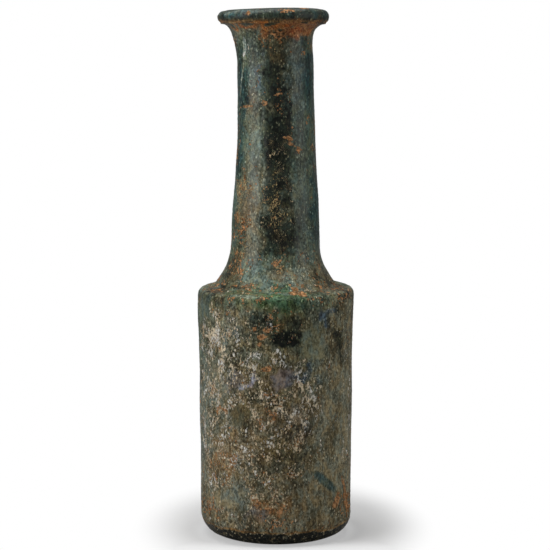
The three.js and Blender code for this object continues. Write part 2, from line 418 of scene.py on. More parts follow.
@dataclass(frozen=True)
class Ripples:
    """A smooth random field in space, made of plane waves, with a mean of 0 and a spread of about 1."""

    wavelength: float
    seed: int
    stretch: float = 1.0
    waves: int = 28

    def at(self, points: np.ndarray) -> np.ndarray:
        """The field at some points.

        Args:
            points: Points in millimetres, as rows.

        Returns:
            One value a point.
        """
        draw = np.random.default_rng(self.seed)
        heading = draw.normal(size=(self.waves, 3))
        heading /= np.linalg.norm(heading, axis=1)[:, None]
        pace = 2 * math.pi / (self.wavelength * draw.uniform(0.7, 1.4, self.waves))
        phase = draw.uniform(0, 2 * math.pi, self.waves)
        squeezed = points * np.array([1.0, 1.0, 1.0 / self.stretch])
        total = np.zeros(len(points))
        for way, rate, start in zip(heading, pace, phase):
            total += np.sin(squeezed @ (way * rate) + start)
        return total * math.sqrt(2 / self.waves)


@dataclass(frozen=True)
class HandWork:
    """How the blown and worked glass departs from its turned form, in millimetres.

    Attributes:
        form: The turned form.
        inside_share: How much of the unevenness the inside has.
        shoulder_zone: The heights at which the shoulder tilts, as zone takes them.
        fillet_top: The height at which the sweep over the shoulder joins the neck.
        neck_middle: The height at which the neck starts to be fuller.
        roll_radius: The distance from the axis at which the lip's roll begins.
        skirt_reach: How far outside the neck the skirt under the lip has died away.
        ripples: How far the blown and drawn out glass stands off, and in what waves.
        pits: Where it is pitted.
    """

    form: BottleForm
    inside_share: float = 0.4
    shoulder_zone: tuple[float, float, float, float] = (100.0, 8.0, 134.0, 10.0)
    shoulder_tilt: float = 0.2
    fillet_top: float = 138.0
    fillet_lean: float = 0.4
    fillet_fullness: float = 0.35
    neck_middle: float = 160.0
    neck_fullness: float = 0.35
    roll_radius: float = 20.5
    lip_fullness: float = 0.25
    lip_sag: float = 0.2
    lip_dip: float = 0.6
    skirt_reach: float = 2.1
    flare_skirt: float = 1.9
    ripples: tuple[tuple[float, Ripples], ...] = (
        (0.13, Ripples(46.0, 1)),
        (0.07, Ripples(15.0, 2, 2.2)),
        (0.035, Ripples(4.5, 3, 3.5)),
        (0.03, Ripples(2.1, 4)),
    )
    pits: Ripples = Ripples(3.0, 5, 1.4)
    pit_depth: float = 0.05

    def move(self, exact: np.ndarray, square: np.ndarray, outside: np.ndarray) -> np.ndarray:
        """Moves points from the turned form to the worked glass.

        Args:
            exact: Points on the turned form.
            square: The direction square to the form at each point.
            outside: True where a point is on the outside.

        Returns:
            The moved points.
        """
        form, level = self.form, exact[:, 2]
        away = np.hypot(exact[:, 0], exact[:, 1])
        above = level - form.neck_top
        fillet = zone(level, form.wall_top + 5.0, 8.0, self.fillet_top, 12.0)
        upper_neck = zone(level, self.neck_middle, 12.0, form.neck_top + 1.0, 1.0)
        rolled = eased(above / 1.5) * eased((away - self.roll_radius) / 2.0)
        full = self.fillet_fullness * fillet + self.lip_fullness * rolled + self.neck_fullness * upper_neck
        proud = self.unevenness(exact) * np.where(outside, 1.0, self.inside_share) + full * outside
        placed = exact + square * proud[:, None]
        spread = self.flare_skirt * self.skirt(above, away) * outside / np.maximum(away, 1.0)
        placed[:, :2] += exact[:, :2] * spread[:, None]
        placed[:, 0] += form.centre_line(level) - self.fillet_lean * fillet
        placed[:, 2] += self.shoulder_tilt * zone(level, *self.shoulder_zone) * exact[:, 0] / form.body_radius
        hung = bell(above, 0.9, 1.4) * eased((away - self.roll_radius) / 1.5)
        dip = eased((above - 2.5) / 2.0) * eased((12.0 - exact[:, 0]) / 34.0)
        placed[:, 2] -= (self.lip_sag * hung + self.lip_dip * dip) * outside
        return placed

    def skirt(self, above: np.ndarray, away: np.ndarray) -> np.ndarray:
        """How much of the skirt under the lip there is at some places.

        Args:
            above: How far over the neck's top each place is.
            away: How far from the axis it is.

        Returns:
            One share a place.
        """
        top_radius = self.form.neck_outer(np.array([self.form.neck_top]))[0]
        near = np.clip(1 - (away - top_radius) / self.skirt_reach, 0.0, 1.0)
        return np.exp(np.minimum(above, 0.0) / 1.5) * eased((1.8 - above) / 0.8) * eased(away - 18.0) * near

    def unevenness(self, points: np.ndarray) -> np.ndarray:
        """How far the glass stands off its turned form, between the standing ring and the lip's crest.

        Args:
            points: Points on the turned form.

        Returns:
            One distance a point.
        """
        proud = sum(height * ripples.at(points) for height, ripples in self.ripples)
        proud -= self.pit_depth * eased(self.pits.at(points) - 1.0)
        return proud * zone(points[:, 2], 0.4, 2.0, self.form.lip_top - 0.2, 1.5)


class Trace(Enum):
    """What a patch of weathering, or of painted shade, changes in the glass's skin."""

    SOIL = "soil"
    SCALE = "scale"
    # Bare dark glass where the film is lost; also laid as painted shade down the neck's front, on the
    # shoulder's top by its corners and on the heel that curves under.
    BARE = "bare"
    GRAIN = "grain"
    SHEEN = "sheen"
    SMOOTH = "smooth"


class Tone(Enum):
    """Colours of the weathering film, some of them also laid as painted highlights and painted shade."""

    OLIVE = srgb(110, 105, 82)
    UMBER = srgb(126, 119, 100)
    OLIVE_BROWN = srgb(88, 80, 52)
    BROWN = srgb(120, 107, 78)
    RUST = srgb(164, 110, 56)
    OCHRE = srgb(160, 118, 62)
    ORANGE = srgb(196, 126, 64)
    TAN = srgb(142, 126, 98)
    GREY_GREEN = srgb(92, 106, 92)
    FAWN = srgb(137, 131, 110)
    PALE_GREY = srgb(138, 140, 124)
    PALE_TEAL = srgb(114, 128, 116)
    # A painted highlight: the narrow pale streaks where the left box is reflected on the neck.
    PALE = srgb(176, 182, 170)
    SLATE = srgb(122, 130, 124)
    BLUE = srgb(84, 106, 124)
    TEAL = srgb(46, 79, 80)
    DARK_TEAL = srgb(56, 70, 62)
    GREEN = srgb(76, 102, 72)
    BLACK_GREEN = srgb(40, 48, 36)
    PURPLE_GREY = srgb(124, 119, 122)
    LAVENDER = srgb(176, 174, 190)


@dataclass(frozen=True)
class Patch:
    """A patch of weathering, or of painted highlight or painted shade, at an azimuth, in degrees from the
    front, and a height, in millimetres.

    Attributes:
        kind: What it changes, or the tone that it gives the film.
        azimuth: Its centre's azimuth.
        height: Its centre's height.
        wide: Half its width round the bottle, in millimetres.
        tall: Half its height, in millimetres.
        strength: How strong it is in the middle, from 0 to 1. Above 1 a trace leaves no gap.
        slant: How far its upper end lies towards larger azimuths, in millimetres a millimetre.
        steady: True where its edge is straight and doesn't wander.
    """

    kind: Trace | Tone
    azimuth: float
    height: float
    wide: float
    tall: float
    strength: float
    slant: float = 0.0
    steady: bool = False


# Each row of tones is a Patch, laid over those before it. Each row of a trace is one without its kind.
# The body's rows go from the broad grounds to those under the shoulder, in the middle and low down.

LIP_TONES = (
    (Tone.SLATE, -46, 237.6, 7, 1.8, 0.6), (Tone.BLACK_GREEN, -66, 236, 4, 2.4, 0.7),
    (Tone.BLACK_GREEN, -14, 238.0, 6.0, 1.8, 0.85), (Tone.BLACK_GREEN, 33, 237.2, 3.4, 2.0, 0.85),
    (Tone.TEAL, 62, 236.5, 10, 3, 0.6), (Tone.TEAL, -44, 236.3, 7, 1.0, 0.8),
    (Tone.BLACK_GREEN, 56, 237.6, 6, 1.6, 0.6), (Tone.GREY_GREEN, 48, 238, 3.4, 1.2, 0.6),
)
LIP_TRACES = {
    Trace.BARE: ((-12, 238.6, 5, 1.2, 0.6), (58, 237.4, 7, 2.0, 0.6), (33, 237.2, 3, 2.0, 0.7)),
    Trace.SOIL: (
        (-40, 239.4, 5, 0.5, 0.6), (-27, 237.6, 1.2, 0.7, 1.2, 0.5, True),
        (14, 238.2, 3.8, 0.7, 0.85, 0.0, True), (38, 239.6, 2.4, 0.5, 1.0, 0.0, True),
    ),
}
NECK_TONES = (
    # The pale, pale teal, slate and blue rows near -25° to -34°, here and below, lie on the band where the
    # left box is reflected, and the slate row at 28° on the right box's band: each is partly the film's tone
    # and partly painted highlight.
    (Tone.PALE_GREY, -28, 150, 4.0, 16, 0.4), (Tone.SLATE, -28, 212, 3.5, 10, 0.4),
    (Tone.PALE_TEAL, -27, 178, 5.0, 10, 0.5), (Tone.PALE_GREY, -34, 168, 8.0, 8, 0.75),
    (Tone.OLIVE, -36, 195, 4.5, 9, 0.6), (Tone.OLIVE_BROWN, -40, 142, 5.0, 11, 0.4),
    (Tone.DARK_TEAL, 30, 152, 5.0, 12, 0.55), (Tone.PALE_TEAL, -20, 127, 4.0, 5, 0.6),
    # Painted shade: the black-green rows down the neck's front darken the front that no box lights, together
    # with the bare rows at 0° to 8° among the traces.
    (Tone.BLACK_GREEN, 3, 186, 5.2, 50, 0.95), (Tone.BLACK_GREEN, 2, 182, 5.6, 40, 0.7, 0.0, True),
    (Tone.BLACK_GREEN, 4, 150, 6.0, 20, 0.7), (Tone.BLACK_GREEN, 9, 137.5, 8.0, 5.5, 0.95),
    (Tone.OLIVE, 22, 152, 3.6, 4.5, 0.7), (Tone.OLIVE_BROWN, 7, 136.5, 3.4, 3.0, 0.65),
    (Tone.OLIVE_BROWN, 2, 224, 6.5, 6, 0.5), (Tone.OLIVE, 14, 222, 6.5, 9, 0.8),
    (Tone.BROWN, 0, 230.5, 26, 3.0, 0.6), (Tone.OLIVE, -14, 229, 5, 2.2, 0.5),
    (Tone.PALE_GREY, -42, 231, 9, 4, 0.6), (Tone.RUST, 7, 231, 9, 2.6, 1.0),
    (Tone.TAN, -36, 232.5, 5.5, 2.2, 0.7), (Tone.OLIVE_BROWN, 20, 227.5, 5, 2.6, 0.6),
    (Tone.ORANGE, 2, 232.9, 24, 1.2, 0.9), (Tone.ORANGE, 48, 230.5, 7, 3, 0.75),
    # The teal rows at the neck's sides, at -74° to -60° and 66° to 74°, are partly the glass's own teal and
    # partly painted light coming through the thin glass edge.
    (Tone.ORANGE, 24, 231.5, 5, 2, 0.6), (Tone.TEAL, -60, 208, 3.5, 15, 0.85),
    (Tone.TEAL, -74, 180, 7, 40, 0.6), (Tone.TEAL, 66, 208, 7, 15, 0.9),
    # The narrow steady pale rows on this line and the next, and the narrow steady pale grey row below them,
    # are painted highlights: streaks of the left box's reflection.
    (Tone.TEAL, 74, 150, 7, 22, 0.9), (Tone.PALE, -49, 222.0, 1.0, 5.5, 0.45, 0.27, True),
    (Tone.PALE, -61, 208, 0.6, 7.0, 0.55, 0.27, True),
    (Tone.PALE_GREY, -38, 214, 0.5, 9.0, 0.45, 0.2, True), (Tone.BLUE, -25, 212, 2.0, 7, 0.55),
    (Tone.TEAL, 46, 212, 4.5, 11, 0.6), (Tone.GREY_GREEN, 18, 205, 3.5, 16, 0.5),
    (Tone.SLATE, 28, 212, 5.0, 18, 0.5), (Tone.DARK_TEAL, 5, 200, 4.6, 14, 0.4),
    (Tone.PALE_TEAL, 22, 158, 3.6, 9, 0.5), (Tone.PALE_GREY, -34, 197, 7.5, 3.2, 0.7),
    (Tone.TAN, -44, 197, 4, 3.4, 0.6), (Tone.TAN, -30, 146, 4.5, 14, 0.45),
    (Tone.OLIVE_BROWN, -48, 126, 5.0, 7, 0.75), (Tone.TAN, -50, 152, 5.0, 8, 0.5),
)
NECK_TRACES = {
    Trace.SOIL: (
        (-6, 233.3, 24, 0.8, 0.85), (14, 231, 10, 2.4, 0.72), (-24, 231.5, 10, 1.8, 0.62),
        (52, 230.5, 6, 2.6, 0.8), (0, 227, 9, 2.2, 0.66), (50, 227, 5, 5, 0.6),
        (45, 220, 1.6, 1.2, 1.2, 0.4, True), (-23, 212.5, 1.3, 1.4, 0.8),
        (3, 202, 1.5, 0.6, 1.1, 2.0, True), (-18, 198, 1.4, 1.4, 0.9, 0.0, True),
        (-50, 196.5, 4, 0.7, 0.8, 3.0, True), (54, 191, 1.6, 2.6, 1.1, 0.4, True),
        (80, 190, 3, 12, 0.45), (17, 182.5, 1.8, 1.3, 1.0, -1.4, True),
        (28, 179, 1.5, 1.5, 1.1, -1.6, True), (-46, 160, 5, 12, 0.42), (-52, 143, 6.5, 11, 0.56),
        (-60, 128, 8, 6, 0.5), (-40, 124, 5, 6, 0.62), (2, 127, 2.0, 1.2, 1.1, 0.5, True),
        (35, 129, 1.6, 2.2, 0.65),
    ),
    Trace.SCALE: ((-46, 221.0, 1.6, 6.0, 0.58, 0.2),),
    Trace.BARE: (
        # The first four rows, down the neck's front, are painted shade that goes with the black-green rows of
        # the tones.
        (4, 200, 4.6, 17, 0.75), (0, 174, 4.4, 15, 0.75), (4, 152, 4.6, 8, 0.6), (8, 138, 7.0, 5.0, 0.7),
        (-78, 200, 4, 20, 0.6), (80, 160, 4, 26, 0.6),
    ),
    Trace.GRAIN: ((2, 155, 7, 36, 0.52), (-45, 152, 8, 22, 0.6)),
    Trace.SMOOTH: ((-30, 170, 4, 20, 0.35), (48, 205, 8, 22, 0.45), (28, 155, 5, 16, 0.4)),
}
# The olive-brown and black-green rows at 113.6 to 114.8 mm by the corners are painted shade on the shoulder's
# top where the top box lights it; the dark teal row at -66°, 107.5 mm is painted shade on the wall under the
# left corner.
SHOULDER_TONES = (
    # The pale teal and pale grey rows at 116 to 123 mm across the fillet's front are partly the film's tone
    # and partly a painted highlight.
    (Tone.PALE_TEAL, -24, 123, 7, 6, 0.85), (Tone.PALE_GREY, 30, 120, 10, 6, 0.7),
    (Tone.TAN, 0, 122, 6, 4, 0.5), (Tone.PALE_GREY, -34, 116, 12, 3, 0.6),
    (Tone.OLIVE_BROWN, -66, 120, 9, 8, 0.7), (Tone.OLIVE_BROWN, 66, 119, 10, 7, 0.8),
    (Tone.OLIVE_BROWN, -46, 114.4, 13, 2.6, 0.9), (Tone.OLIVE_BROWN, 58, 114.4, 19, 2.8, 0.95),
    (Tone.BLACK_GREEN, 60, 114.8, 12, 1.8, 0.6), (Tone.GREEN, 4, 111.5, 24, 4.5, 0.95),
    (Tone.GREEN, -8, 104, 8, 6, 0.5), (Tone.PALE_TEAL, -6, 117.5, 12, 1.6, 0.8),
    (Tone.PALE_TEAL, 24, 110, 6.5, 3.0, 0.8), (Tone.DARK_TEAL, -66, 107.5, 7, 5.5, 0.9),
    (Tone.BROWN, -46, 115, 4, 1.4, 0.6), (Tone.BLACK_GREEN, 62, 120, 8, 6, 0.5),
    (Tone.BLACK_GREEN, -68, 121, 6, 6, 0.5), (Tone.BLACK_GREEN, -62, 113.6, 11, 2.4, 0.85),
    (Tone.BLACK_GREEN, 62, 114.2, 14, 2.8, 0.95), (Tone.OLIVE_BROWN, -56, 118, 8, 3, 0.7),
)
SHOULDER_TRACES = {
    Trace.BARE: (
        # The rows at 113.8 mm go with the painted shade on the shoulder's top by the corners.
        (-62, 113.8, 9, 2.4, 0.6), (64, 113.8, 10, 2.6, 0.7), (-66, 122, 6, 7, 0.5),
        (66, 121, 7, 6, 0.55),
    ),
    # The row at -66°, 107.5 mm keeps flecks off the painted shade under the left corner.
    Trace.SMOOTH: ((-16, 121, 9, 5, 0.4), (-66, 107.5, 6, 5, 0.6), (0, 108, 18, 3, 0.3)),
    Trace.SOIL: (
        (-66, 114.5, 12, 2.6, 0.62), (-20, 115, 14, 3, 0.5), (23, 114.6, 2.4, 3.4, 1.1),
        (62, 114.6, 14, 2.6, 0.55),
    ),
    Trace.GRAIN: ((0, 119, 30, 6, 0.42),),
}
BODY_TONES = (
    (Tone.SLATE, -76, 62, 10, 50, 0.7), (Tone.PALE_GREY, -52, 60, 12, 48, 0.35),
    (Tone.BROWN, 2, 70, 14, 30, 0.35), (Tone.FAWN, 62, 60, 20, 60, 0.85),
    (Tone.FAWN, 40, 28, 16, 24, 0.7), (Tone.PALE_GREY, 62, 60, 14, 44, 0.2),
    (Tone.FAWN, -24, 24, 22, 12, 0.6), (Tone.OLIVE, -34, 92, 10, 11, 0.6),
    (Tone.FAWN, -19, 105, 9, 7, 0.7), (Tone.PALE_GREY, -14, 92, 9, 8, 0.3),
    (Tone.BLACK_GREEN, 12, 102.5, 3.4, 4.4, 0.8),
    (Tone.BLACK_GREEN, 8.5, 95, 7.2, 4.0, 0.95, 0.15, True), (Tone.DARK_TEAL, -8, 101.5, 4.0, 3.8, 0.8),
    (Tone.SLATE, -38, 95, 4.5, 7, 0.6), (Tone.PALE_TEAL, 27, 90, 6, 14, 0.45),
    (Tone.PALE_GREY, 27, 42, 6, 16, 0.35), (Tone.BLUE, 37, 105, 3.2, 3.0, 0.75),
    (Tone.BLACK_GREEN, 43, 105.5, 2.6, 3.2, 0.75), (Tone.OLIVE_BROWN, 52, 93, 3.0, 8, 1.0),
    (Tone.BLACK_GREEN, 52, 91, 1.8, 6, 0.55), (Tone.PURPLE_GREY, 5, 76.4, 7.8, 3.5, 0.95, 0.45),
    (Tone.PURPLE_GREY, -31, 73, 5, 4, 0.7), (Tone.LAVENDER, -20, 73, 1.6, 5.0, 0.95, 0.6),
    (Tone.BLUE, 23, 78.5, 4.6, 2.8, 1.1), (Tone.PALE_GREY, 31, 77, 6, 8, 0.5),
    (Tone.BLACK_GREEN, -13, 67.5, 3.0, 2.4, 0.8), (Tone.OLIVE_BROWN, 3, 67, 2.6, 3.2, 0.8),
    (Tone.OLIVE_BROWN, 18, 61, 2.6, 3.2, 0.6), (Tone.OLIVE_BROWN, -38, 67.5, 3.0, 4.0, 0.6),
    (Tone.SLATE, -58, 70, 5, 8, 0.5), (Tone.PURPLE_GREY, 14, 56, 7, 8, 0.35),
    (Tone.TAN, -7, 60, 4.0, 6.5, 0.5), (Tone.OLIVE_BROWN, -28, 60, 4.2, 5, 0.8),
    (Tone.TAN, -26, 47, 13, 6, 0.65), (Tone.OLIVE_BROWN, 7, 44, 9, 9, 0.7),
    (Tone.TAN, -47, 40, 8, 8, 0.6), (Tone.TAN, -2, 18.5, 9, 4.4, 0.65),
    (Tone.TEAL, 40, 28.8, 3.2, 5.4, 0.75, -1.1, True), (Tone.DARK_TEAL, -54, 31, 3.4, 2.6, 0.7),
    (Tone.PURPLE_GREY, -14, 16, 5, 2.4, 0.6), (Tone.SLATE, -30, 24, 7, 5, 0.6),
    (Tone.OCHRE, -50, 36, 9, 8, 0.2), (Tone.OCHRE, 0, 19, 9, 4, 0.22),
)
BODY_TRACES = {
    Trace.SCALE: (
        (-46, 62, 22, 52, 0.46), (10, 68, 22, 28, 0.44), (66, 60, 10, 36, 0.36),
        (-52, 94, 6.0, 9, 0.7, -0.15), (-43, 90, 8, 6, 0.64, -0.2), (-34, 97, 1.4, 4, 0.6),
        (-16, 85.5, 5, 4.4, 0.72), (-35, 82.5, 1.2, 2.6, 0.9, -0.5, True),
        (-20, 73, 1.8, 5.0, 0.62, 0.6), (18, 75, 1.1, 4.0, 1.1, -0.35, True), (28, 73, 2.6, 2.4, 0.85),
        (-36, 49, 13, 5.5, 0.48), (22, 58, 12, 10, 0.45), (-17, 17.5, 2.4, 1.4, 0.8),
    ),
    Trace.GRAIN: (
        (-38, 58, 28, 54, 0.54), (4, 58, 18, 30, 0.56), (-6, 22, 17, 13, 0.5), (-48, 93, 12, 10, 0.72),
    ),
    Trace.SOIL: (
        (-44, 40, 20, 40, 0.3), (-34, 108, 8, 4, 0.4), (-15, 99.5, 1.1, 0.9, 1.2, 0.3, True),
        (-7, 98.8, 1.8, 1.0, 1.2, -0.4, True), (-10, 95.8, 2.2, 1.0, 1.3, 0.8, True),
        (-12, 92.4, 0.9, 0.8, 1.3, 0.0, True), (-7, 81.5, 2.3, 1.7, 1.2, 0.5, True),
        (-7, 60, 4.0, 6.5, 0.6), (-42, 60, 2.4, 2.2, 0.85), (-78, 61, 2.6, 3.0, 0.8),
        (-46, 37, 10, 8, 0.56), (-76, 26, 3, 16, 0.5), (-2, 19, 9, 3.8, 0.76), (9, 12.5, 3.2, 2.6, 0.66),
        (66, 20, 1.4, 10, 1.3, -0.44, True), (52, 19, 2.4, 3.8, 1.3, 0.3, True), (-56, 16, 9, 7, 0.6),
    ),
    Trace.BARE: (
        (12, 102, 3.0, 4.2, 0.6), (8.5, 95, 6.8, 3.8, 1.0, 0.15, True), (-9, 102, 3.4, 3.4, 0.55),
        (52, 91.5, 2.4, 7, 0.52), (7, 45, 7, 7, 0.3),
    ),
    Trace.SMOOTH: (
        (28, 94, 7, 9, 0.7), (5, 76.6, 6.6, 3.5, 0.9, 0.45), (-38, 67.5, 2.6, 3.6, 0.5),
        (-27, 59.5, 3.2, 4, 0.6), (50, 60, 12, 24, 0.35), (41, 29.5, 5, 9, 0.6, -1.0),
        (29, 19, 8, 9, 0.6), (-38, 20, 9, 5, 0.5), (-12, 15, 5, 2.0, 0.5),
    ),
}


@dataclass(frozen=True)
class Strewing:
    """A kind of patch that is strewn, and what its sizes are drawn from.

    Attributes:
        kind: What it changes, or nothing where it gives the film a tone.
        below: The draw below which it is this kind, if none before it is.
        wide: The least and largest half width.
        tall: The least and largest half height.
        strength: The strength, or the least and largest one.
    """

    kind: Trace | None
    below: float
    wide: tuple[float, float]
    tall: tuple[float, float]
    strength: tuple[float, ...]


@dataclass(frozen=True)
class BackWeathering:
    """Weathering on the sides that the photograph doesn't show, strewn in the same kinds and sizes."""

    seed: int = 41
    count: int = 90
    nearest_to_front: float = 84.0
    narrow_on_neck: float = 0.6
    tones: tuple[Tone, ...] = (
        Tone.OLIVE, Tone.BROWN, Tone.GREY_GREEN, Tone.SLATE, Tone.TEAL, Tone.PURPLE_GREY
    )
    sorts: tuple[Strewing, ...] = (
        Strewing(None, 0.4, (5, 13), (5, 18), (0.75,)),
        Strewing(Trace.SOIL, 0.7, (2, 9), (2, 7), (0.5, 0.8)),
        Strewing(Trace.SCALE, 0.88, (2, 9), (3, 11), (0.3, 0.6)),
        Strewing(Trace.BARE, 1.0, (3, 6), (4, 14), (0.8,)),
    )

    def patches(self, form: BottleForm) -> list[Patch]:
        """Strews the patches.

        Args:
            form: The bottle's form.

        Returns:
            The patches.
        """
        draw = np.random.default_rng(self.seed)
        made = []
        for _ in range(self.count):
            azimuth = draw.uniform(self.nearest_to_front, 360 - self.nearest_to_front)
            height = draw.uniform(form.wall_foot, form.neck_top)
            narrow = self.narrow_on_neck if height > form.neck_foot else 1.0
            pick = draw.uniform()
            sort = next(sort for sort in self.sorts if pick < sort.below)
            kind = sort.kind or self.tones[int(draw.integers(len(self.tones)))]
            if kind is Trace.SCALE:
                height, narrow = min(height, form.wall_top), 1.0
            wide, tall = draw.uniform(*sort.wide) * narrow, draw.uniform(*sort.tall)
            strength = draw.uniform(*sort.strength) if len(sort.strength) > 1 else sort.strength[0]
            made.append(Patch(kind, azimuth, height, wide, tall, strength))
        return made


@dataclass
class Weathering:
    """Paints the weathering on points of the skin, with painted highlights and painted shade among its
    patches.

    Attributes:
        form: The bottle's form.
        base_tones: The film's tone at some heights, under all patches.
        crusty: The traces that a smooth patch and the bare foot, which is partly painted shade, wipe off.
        inside: How thick each trace lies inside the bottle.
        edge_wander: How far the patches' edges wander, in millimetres.
        broad_wander, fine_wander: In what waves they wander.
        fine_share: How much of that the fine wandering adds.
        steady_share: How much of the fine wandering a steady edge has.
        soft_edge: At how many times its size a patch has died away.
        steady_edge: The same for a steady edge, and how wide that is.
        lip_shade: How far over the neck's top the patches under the lip end, and how suddenly.
        foot_line: The height of the line of soil round the foot, below which the glass is bare and dark,
            partly as painted shade on the heel.
        foot_waves: How far that line goes up and down, and in what waves.
        foot_wiped: How much of the crusts is gone below it.
        clumps: Where soil, grains and gloss gather all over the glass.
        patchiness: Where scale and bare glass do.
    """

    form: BottleForm
    base_tones: tuple[tuple[float, Tone], ...] = (
        (60.0, Tone.UMBER),
        (90.0, Tone.OLIVE),
        (106.0, Tone.OLIVE),
        (114.0, Tone.GREY_GREEN),
        (232.5, Tone.GREY_GREEN),
        (234.0, Tone.DARK_TEAL),
    )
    crusty: tuple[Trace, ...] = (Trace.SOIL, Trace.SCALE, Trace.GRAIN)
    inside: tuple[tuple[Trace, float], ...] = (
        (Trace.SOIL, 0.3),
        (Trace.SCALE, 0.1),
        (Trace.BARE, 0.0),
        (Trace.GRAIN, 0.3),
        (Trace.SHEEN, 0.2),
        (Trace.SMOOTH, 0.5),
    )
    edge_wander: float = 1.6
    broad_wander: Ripples = Ripples(9.0, 50)
    fine_wander: Ripples = Ripples(3.2, 60)
    fine_share: float = 0.4
    steady_share: float = 0.25
    soft_edge: float = 1.5
    steady_edge: tuple[float, float] = (1.25, 0.45)
    lip_shade: tuple[float, float] = (1.1, 0.8)
    foot_line: float = 6.7
    foot_waves: tuple[tuple[float, Ripples], ...] = ((0.3, Ripples(11.0, 71)), (0.14, Ripples(3.0, 72)))
    foot_wiped: float = 0.85
    clumps: Ripples = Ripples(14.0, 73)
    patchiness: Ripples = Ripples(9.0, 74)

    def __post_init__(self) -> None:
        """Gathers the patches of the front and the back."""
        self.patches = [Patch(*row) for row in LIP_TONES + NECK_TONES + SHOULDER_TONES + BODY_TONES]
        for table in (LIP_TRACES, NECK_TRACES, SHOULDER_TRACES, BODY_TRACES):
            self.patches += [Patch(trace, *row) for trace, rows in table.items() for row in rows]
        self.patches += BackWeathering().patches(self.form)

    def strength(
        self, patch: Patch, azimuth: np.ndarray, height: np.ndarray, radius: np.ndarray
    ) -> np.ndarray:
        """How strong one patch is at some places.

        Args:
            patch: The patch.
            azimuth: Each place's azimuth in degrees.
            height: Its height.
            radius: Its distance from the axis.

        Returns:
            One value from 0 to 1 a place.
        """
        turned = (azimuth - patch.azimuth + 180.0) % 360.0 - 180.0
        up = height - patch.height
        round_way = np.radians(turned) * np.maximum(radius, LEAST_RADIUS) - patch.slant * up
        far = np.sqrt((round_way / patch.wide) ** 2 + (up / patch.tall) ** 2)
        end, width = self.steady_edge if patch.steady else (self.soft_edge, 1.0)
        return patch.strength * eased((end - far) / width)

    def wander(self, points: np.ndarray, look: Ripples) -> np.ndarray:
        """A smooth random step aside at each point, in three directions."""
        fields = [Ripples(look.wavelength, look.seed + axis) for axis in range(3)]
        return np.column_stack([ripples.at(points) for ripples in fields]) * self.edge_wander

    def paint(self, points: np.ndarray, outside: np.ndarray) -> dict[str, np.ndarray]:
        """Works out the film's tone and how thick each trace lies.

        Args:
            points: Points in millimetres.
            outside: True where a point is on the outside of the bottle.

        Returns:
            One array for each trace, and the tone as rows of red, green and blue.
        """
        broad = self.wander(points, self.broad_wander)
        fine = self.wander(points, self.fine_wander) * self.fine_share
        radius = np.hypot(points[:, 0], points[:, 1])
        places = {}
        for steady, moved in ((False, points + broad + fine), (True, points + self.steady_share * fine)):
            places[steady] = np.degrees(np.arctan2(moved[:, 0], -moved[:, 1])), moved[:, 2]
        heights, tones = zip(*((height, tone.value) for height, tone in self.base_tones))
        tone = np.column_stack([np.interp(points[:, 2], heights, channel) for channel in zip(*tones)])
        traces = {trace: np.zeros(len(points)) for trace in Trace}
        end, width = self.lip_shade
        under_lip = eased((self.form.neck_top + end - points[:, 2]) / width)
        for patch in self.patches:
            share = self.strength(patch, *places[patch.steady], radius)
            if patch.height < self.form.neck_top:
                share = share * under_lip
            if isinstance(patch.kind, Tone):
                self.tint(tone, patch.kind, share)
            else:
                traces[patch.kind] = np.maximum(traces[patch.kind], share)
        self.add_zones(points, traces, tone)
        for trace in self.crusty:
            traces[trace] *= 1 - np.clip(traces[Trace.SMOOTH], 0.0, 1.0)
        for trace, inner in self.inside:
            traces[trace] = np.where(outside, traces[trace], inner)
        return {**{trace.value: values for trace, values in traces.items()}, "tone": tone}

    @staticmethod
    def tint(tone: np.ndarray, towards: Tone, share: np.ndarray) -> None:
        """Moves the film's tone towards another by a share at each point."""
        tone += (np.array(towards.value) - tone) * share[:, None]

    def add_zones(self, points: np.ndarray, traces: dict[Trace, np.ndarray], tone: np.ndarray) -> None:
        """Adds what goes all the way round: the bare, dark foot with its line of soil, partly painted shade
        on the heel; each stage's own look; and a painted highlight in a pale ring along the shoulder's edge.

        Args:
            points: Points in millimetres.
            traces: The traces, changed in place.
            tone: The film's tone, changed in place.
        """
        height = points[:, 2]
        # The bare, dark band below this wavy line is partly worn glass and partly painted shade on the heel,
        # which curves under the bottle into the dark.
        line = self.foot_line + sum(share * waves.at(points) for share, waves in self.foot_waves)
        foot = eased((line - height) / 0.5 + 0.5)
        on_body = eased((self.form.wall_top - height) / 5)
        on_lip = eased(height - self.form.neck_top)
        on_upper = eased((height - self.form.wall_top - 5.0) / 14.0)
        clumps, patchy = (eased(0.5 + 0.6 * waves.at(points)) for waves in (self.clumps, self.patchiness))
        least = {
            Trace.SOIL: 0.06 + 0.26 * clumps,
            Trace.SCALE: on_body * 0.22 * patchy,
            Trace.GRAIN: 0.2,
        }
        for trace, floor in least.items():
            traces[trace] = np.maximum(traces[trace], floor)
        traces[Trace.SCALE] += on_body * 0.16 * (patchy - 0.5)
        traces[Trace.GRAIN] += 0.2 * (clumps - 0.5)
        bare = np.maximum(traces[Trace.BARE] + 0.2 * (patchy - 0.5), 0.3 * on_lip)
        traces[Trace.BARE] = np.maximum(bare, foot)
        for trace in self.crusty:
            traces[trace] *= 1 - self.foot_wiped * foot
        glossy = np.maximum(0.06 + 0.5 * on_upper - 0.2 * on_lip, 0.25 * foot) * (0.6 + 0.4 * clumps)
        traces[Trace.SHEEN] = np.maximum(traces[Trace.SHEEN], glossy)
        foot_line = bell(height, line + 0.5, 0.34)
        crest = eased((height - self.form.lip_top + 0.9) / 0.6) * clumps
        seam = bell(height, self.form.neck_top + 0.8, 0.8) * (0.6 + 0.4 * clumps)
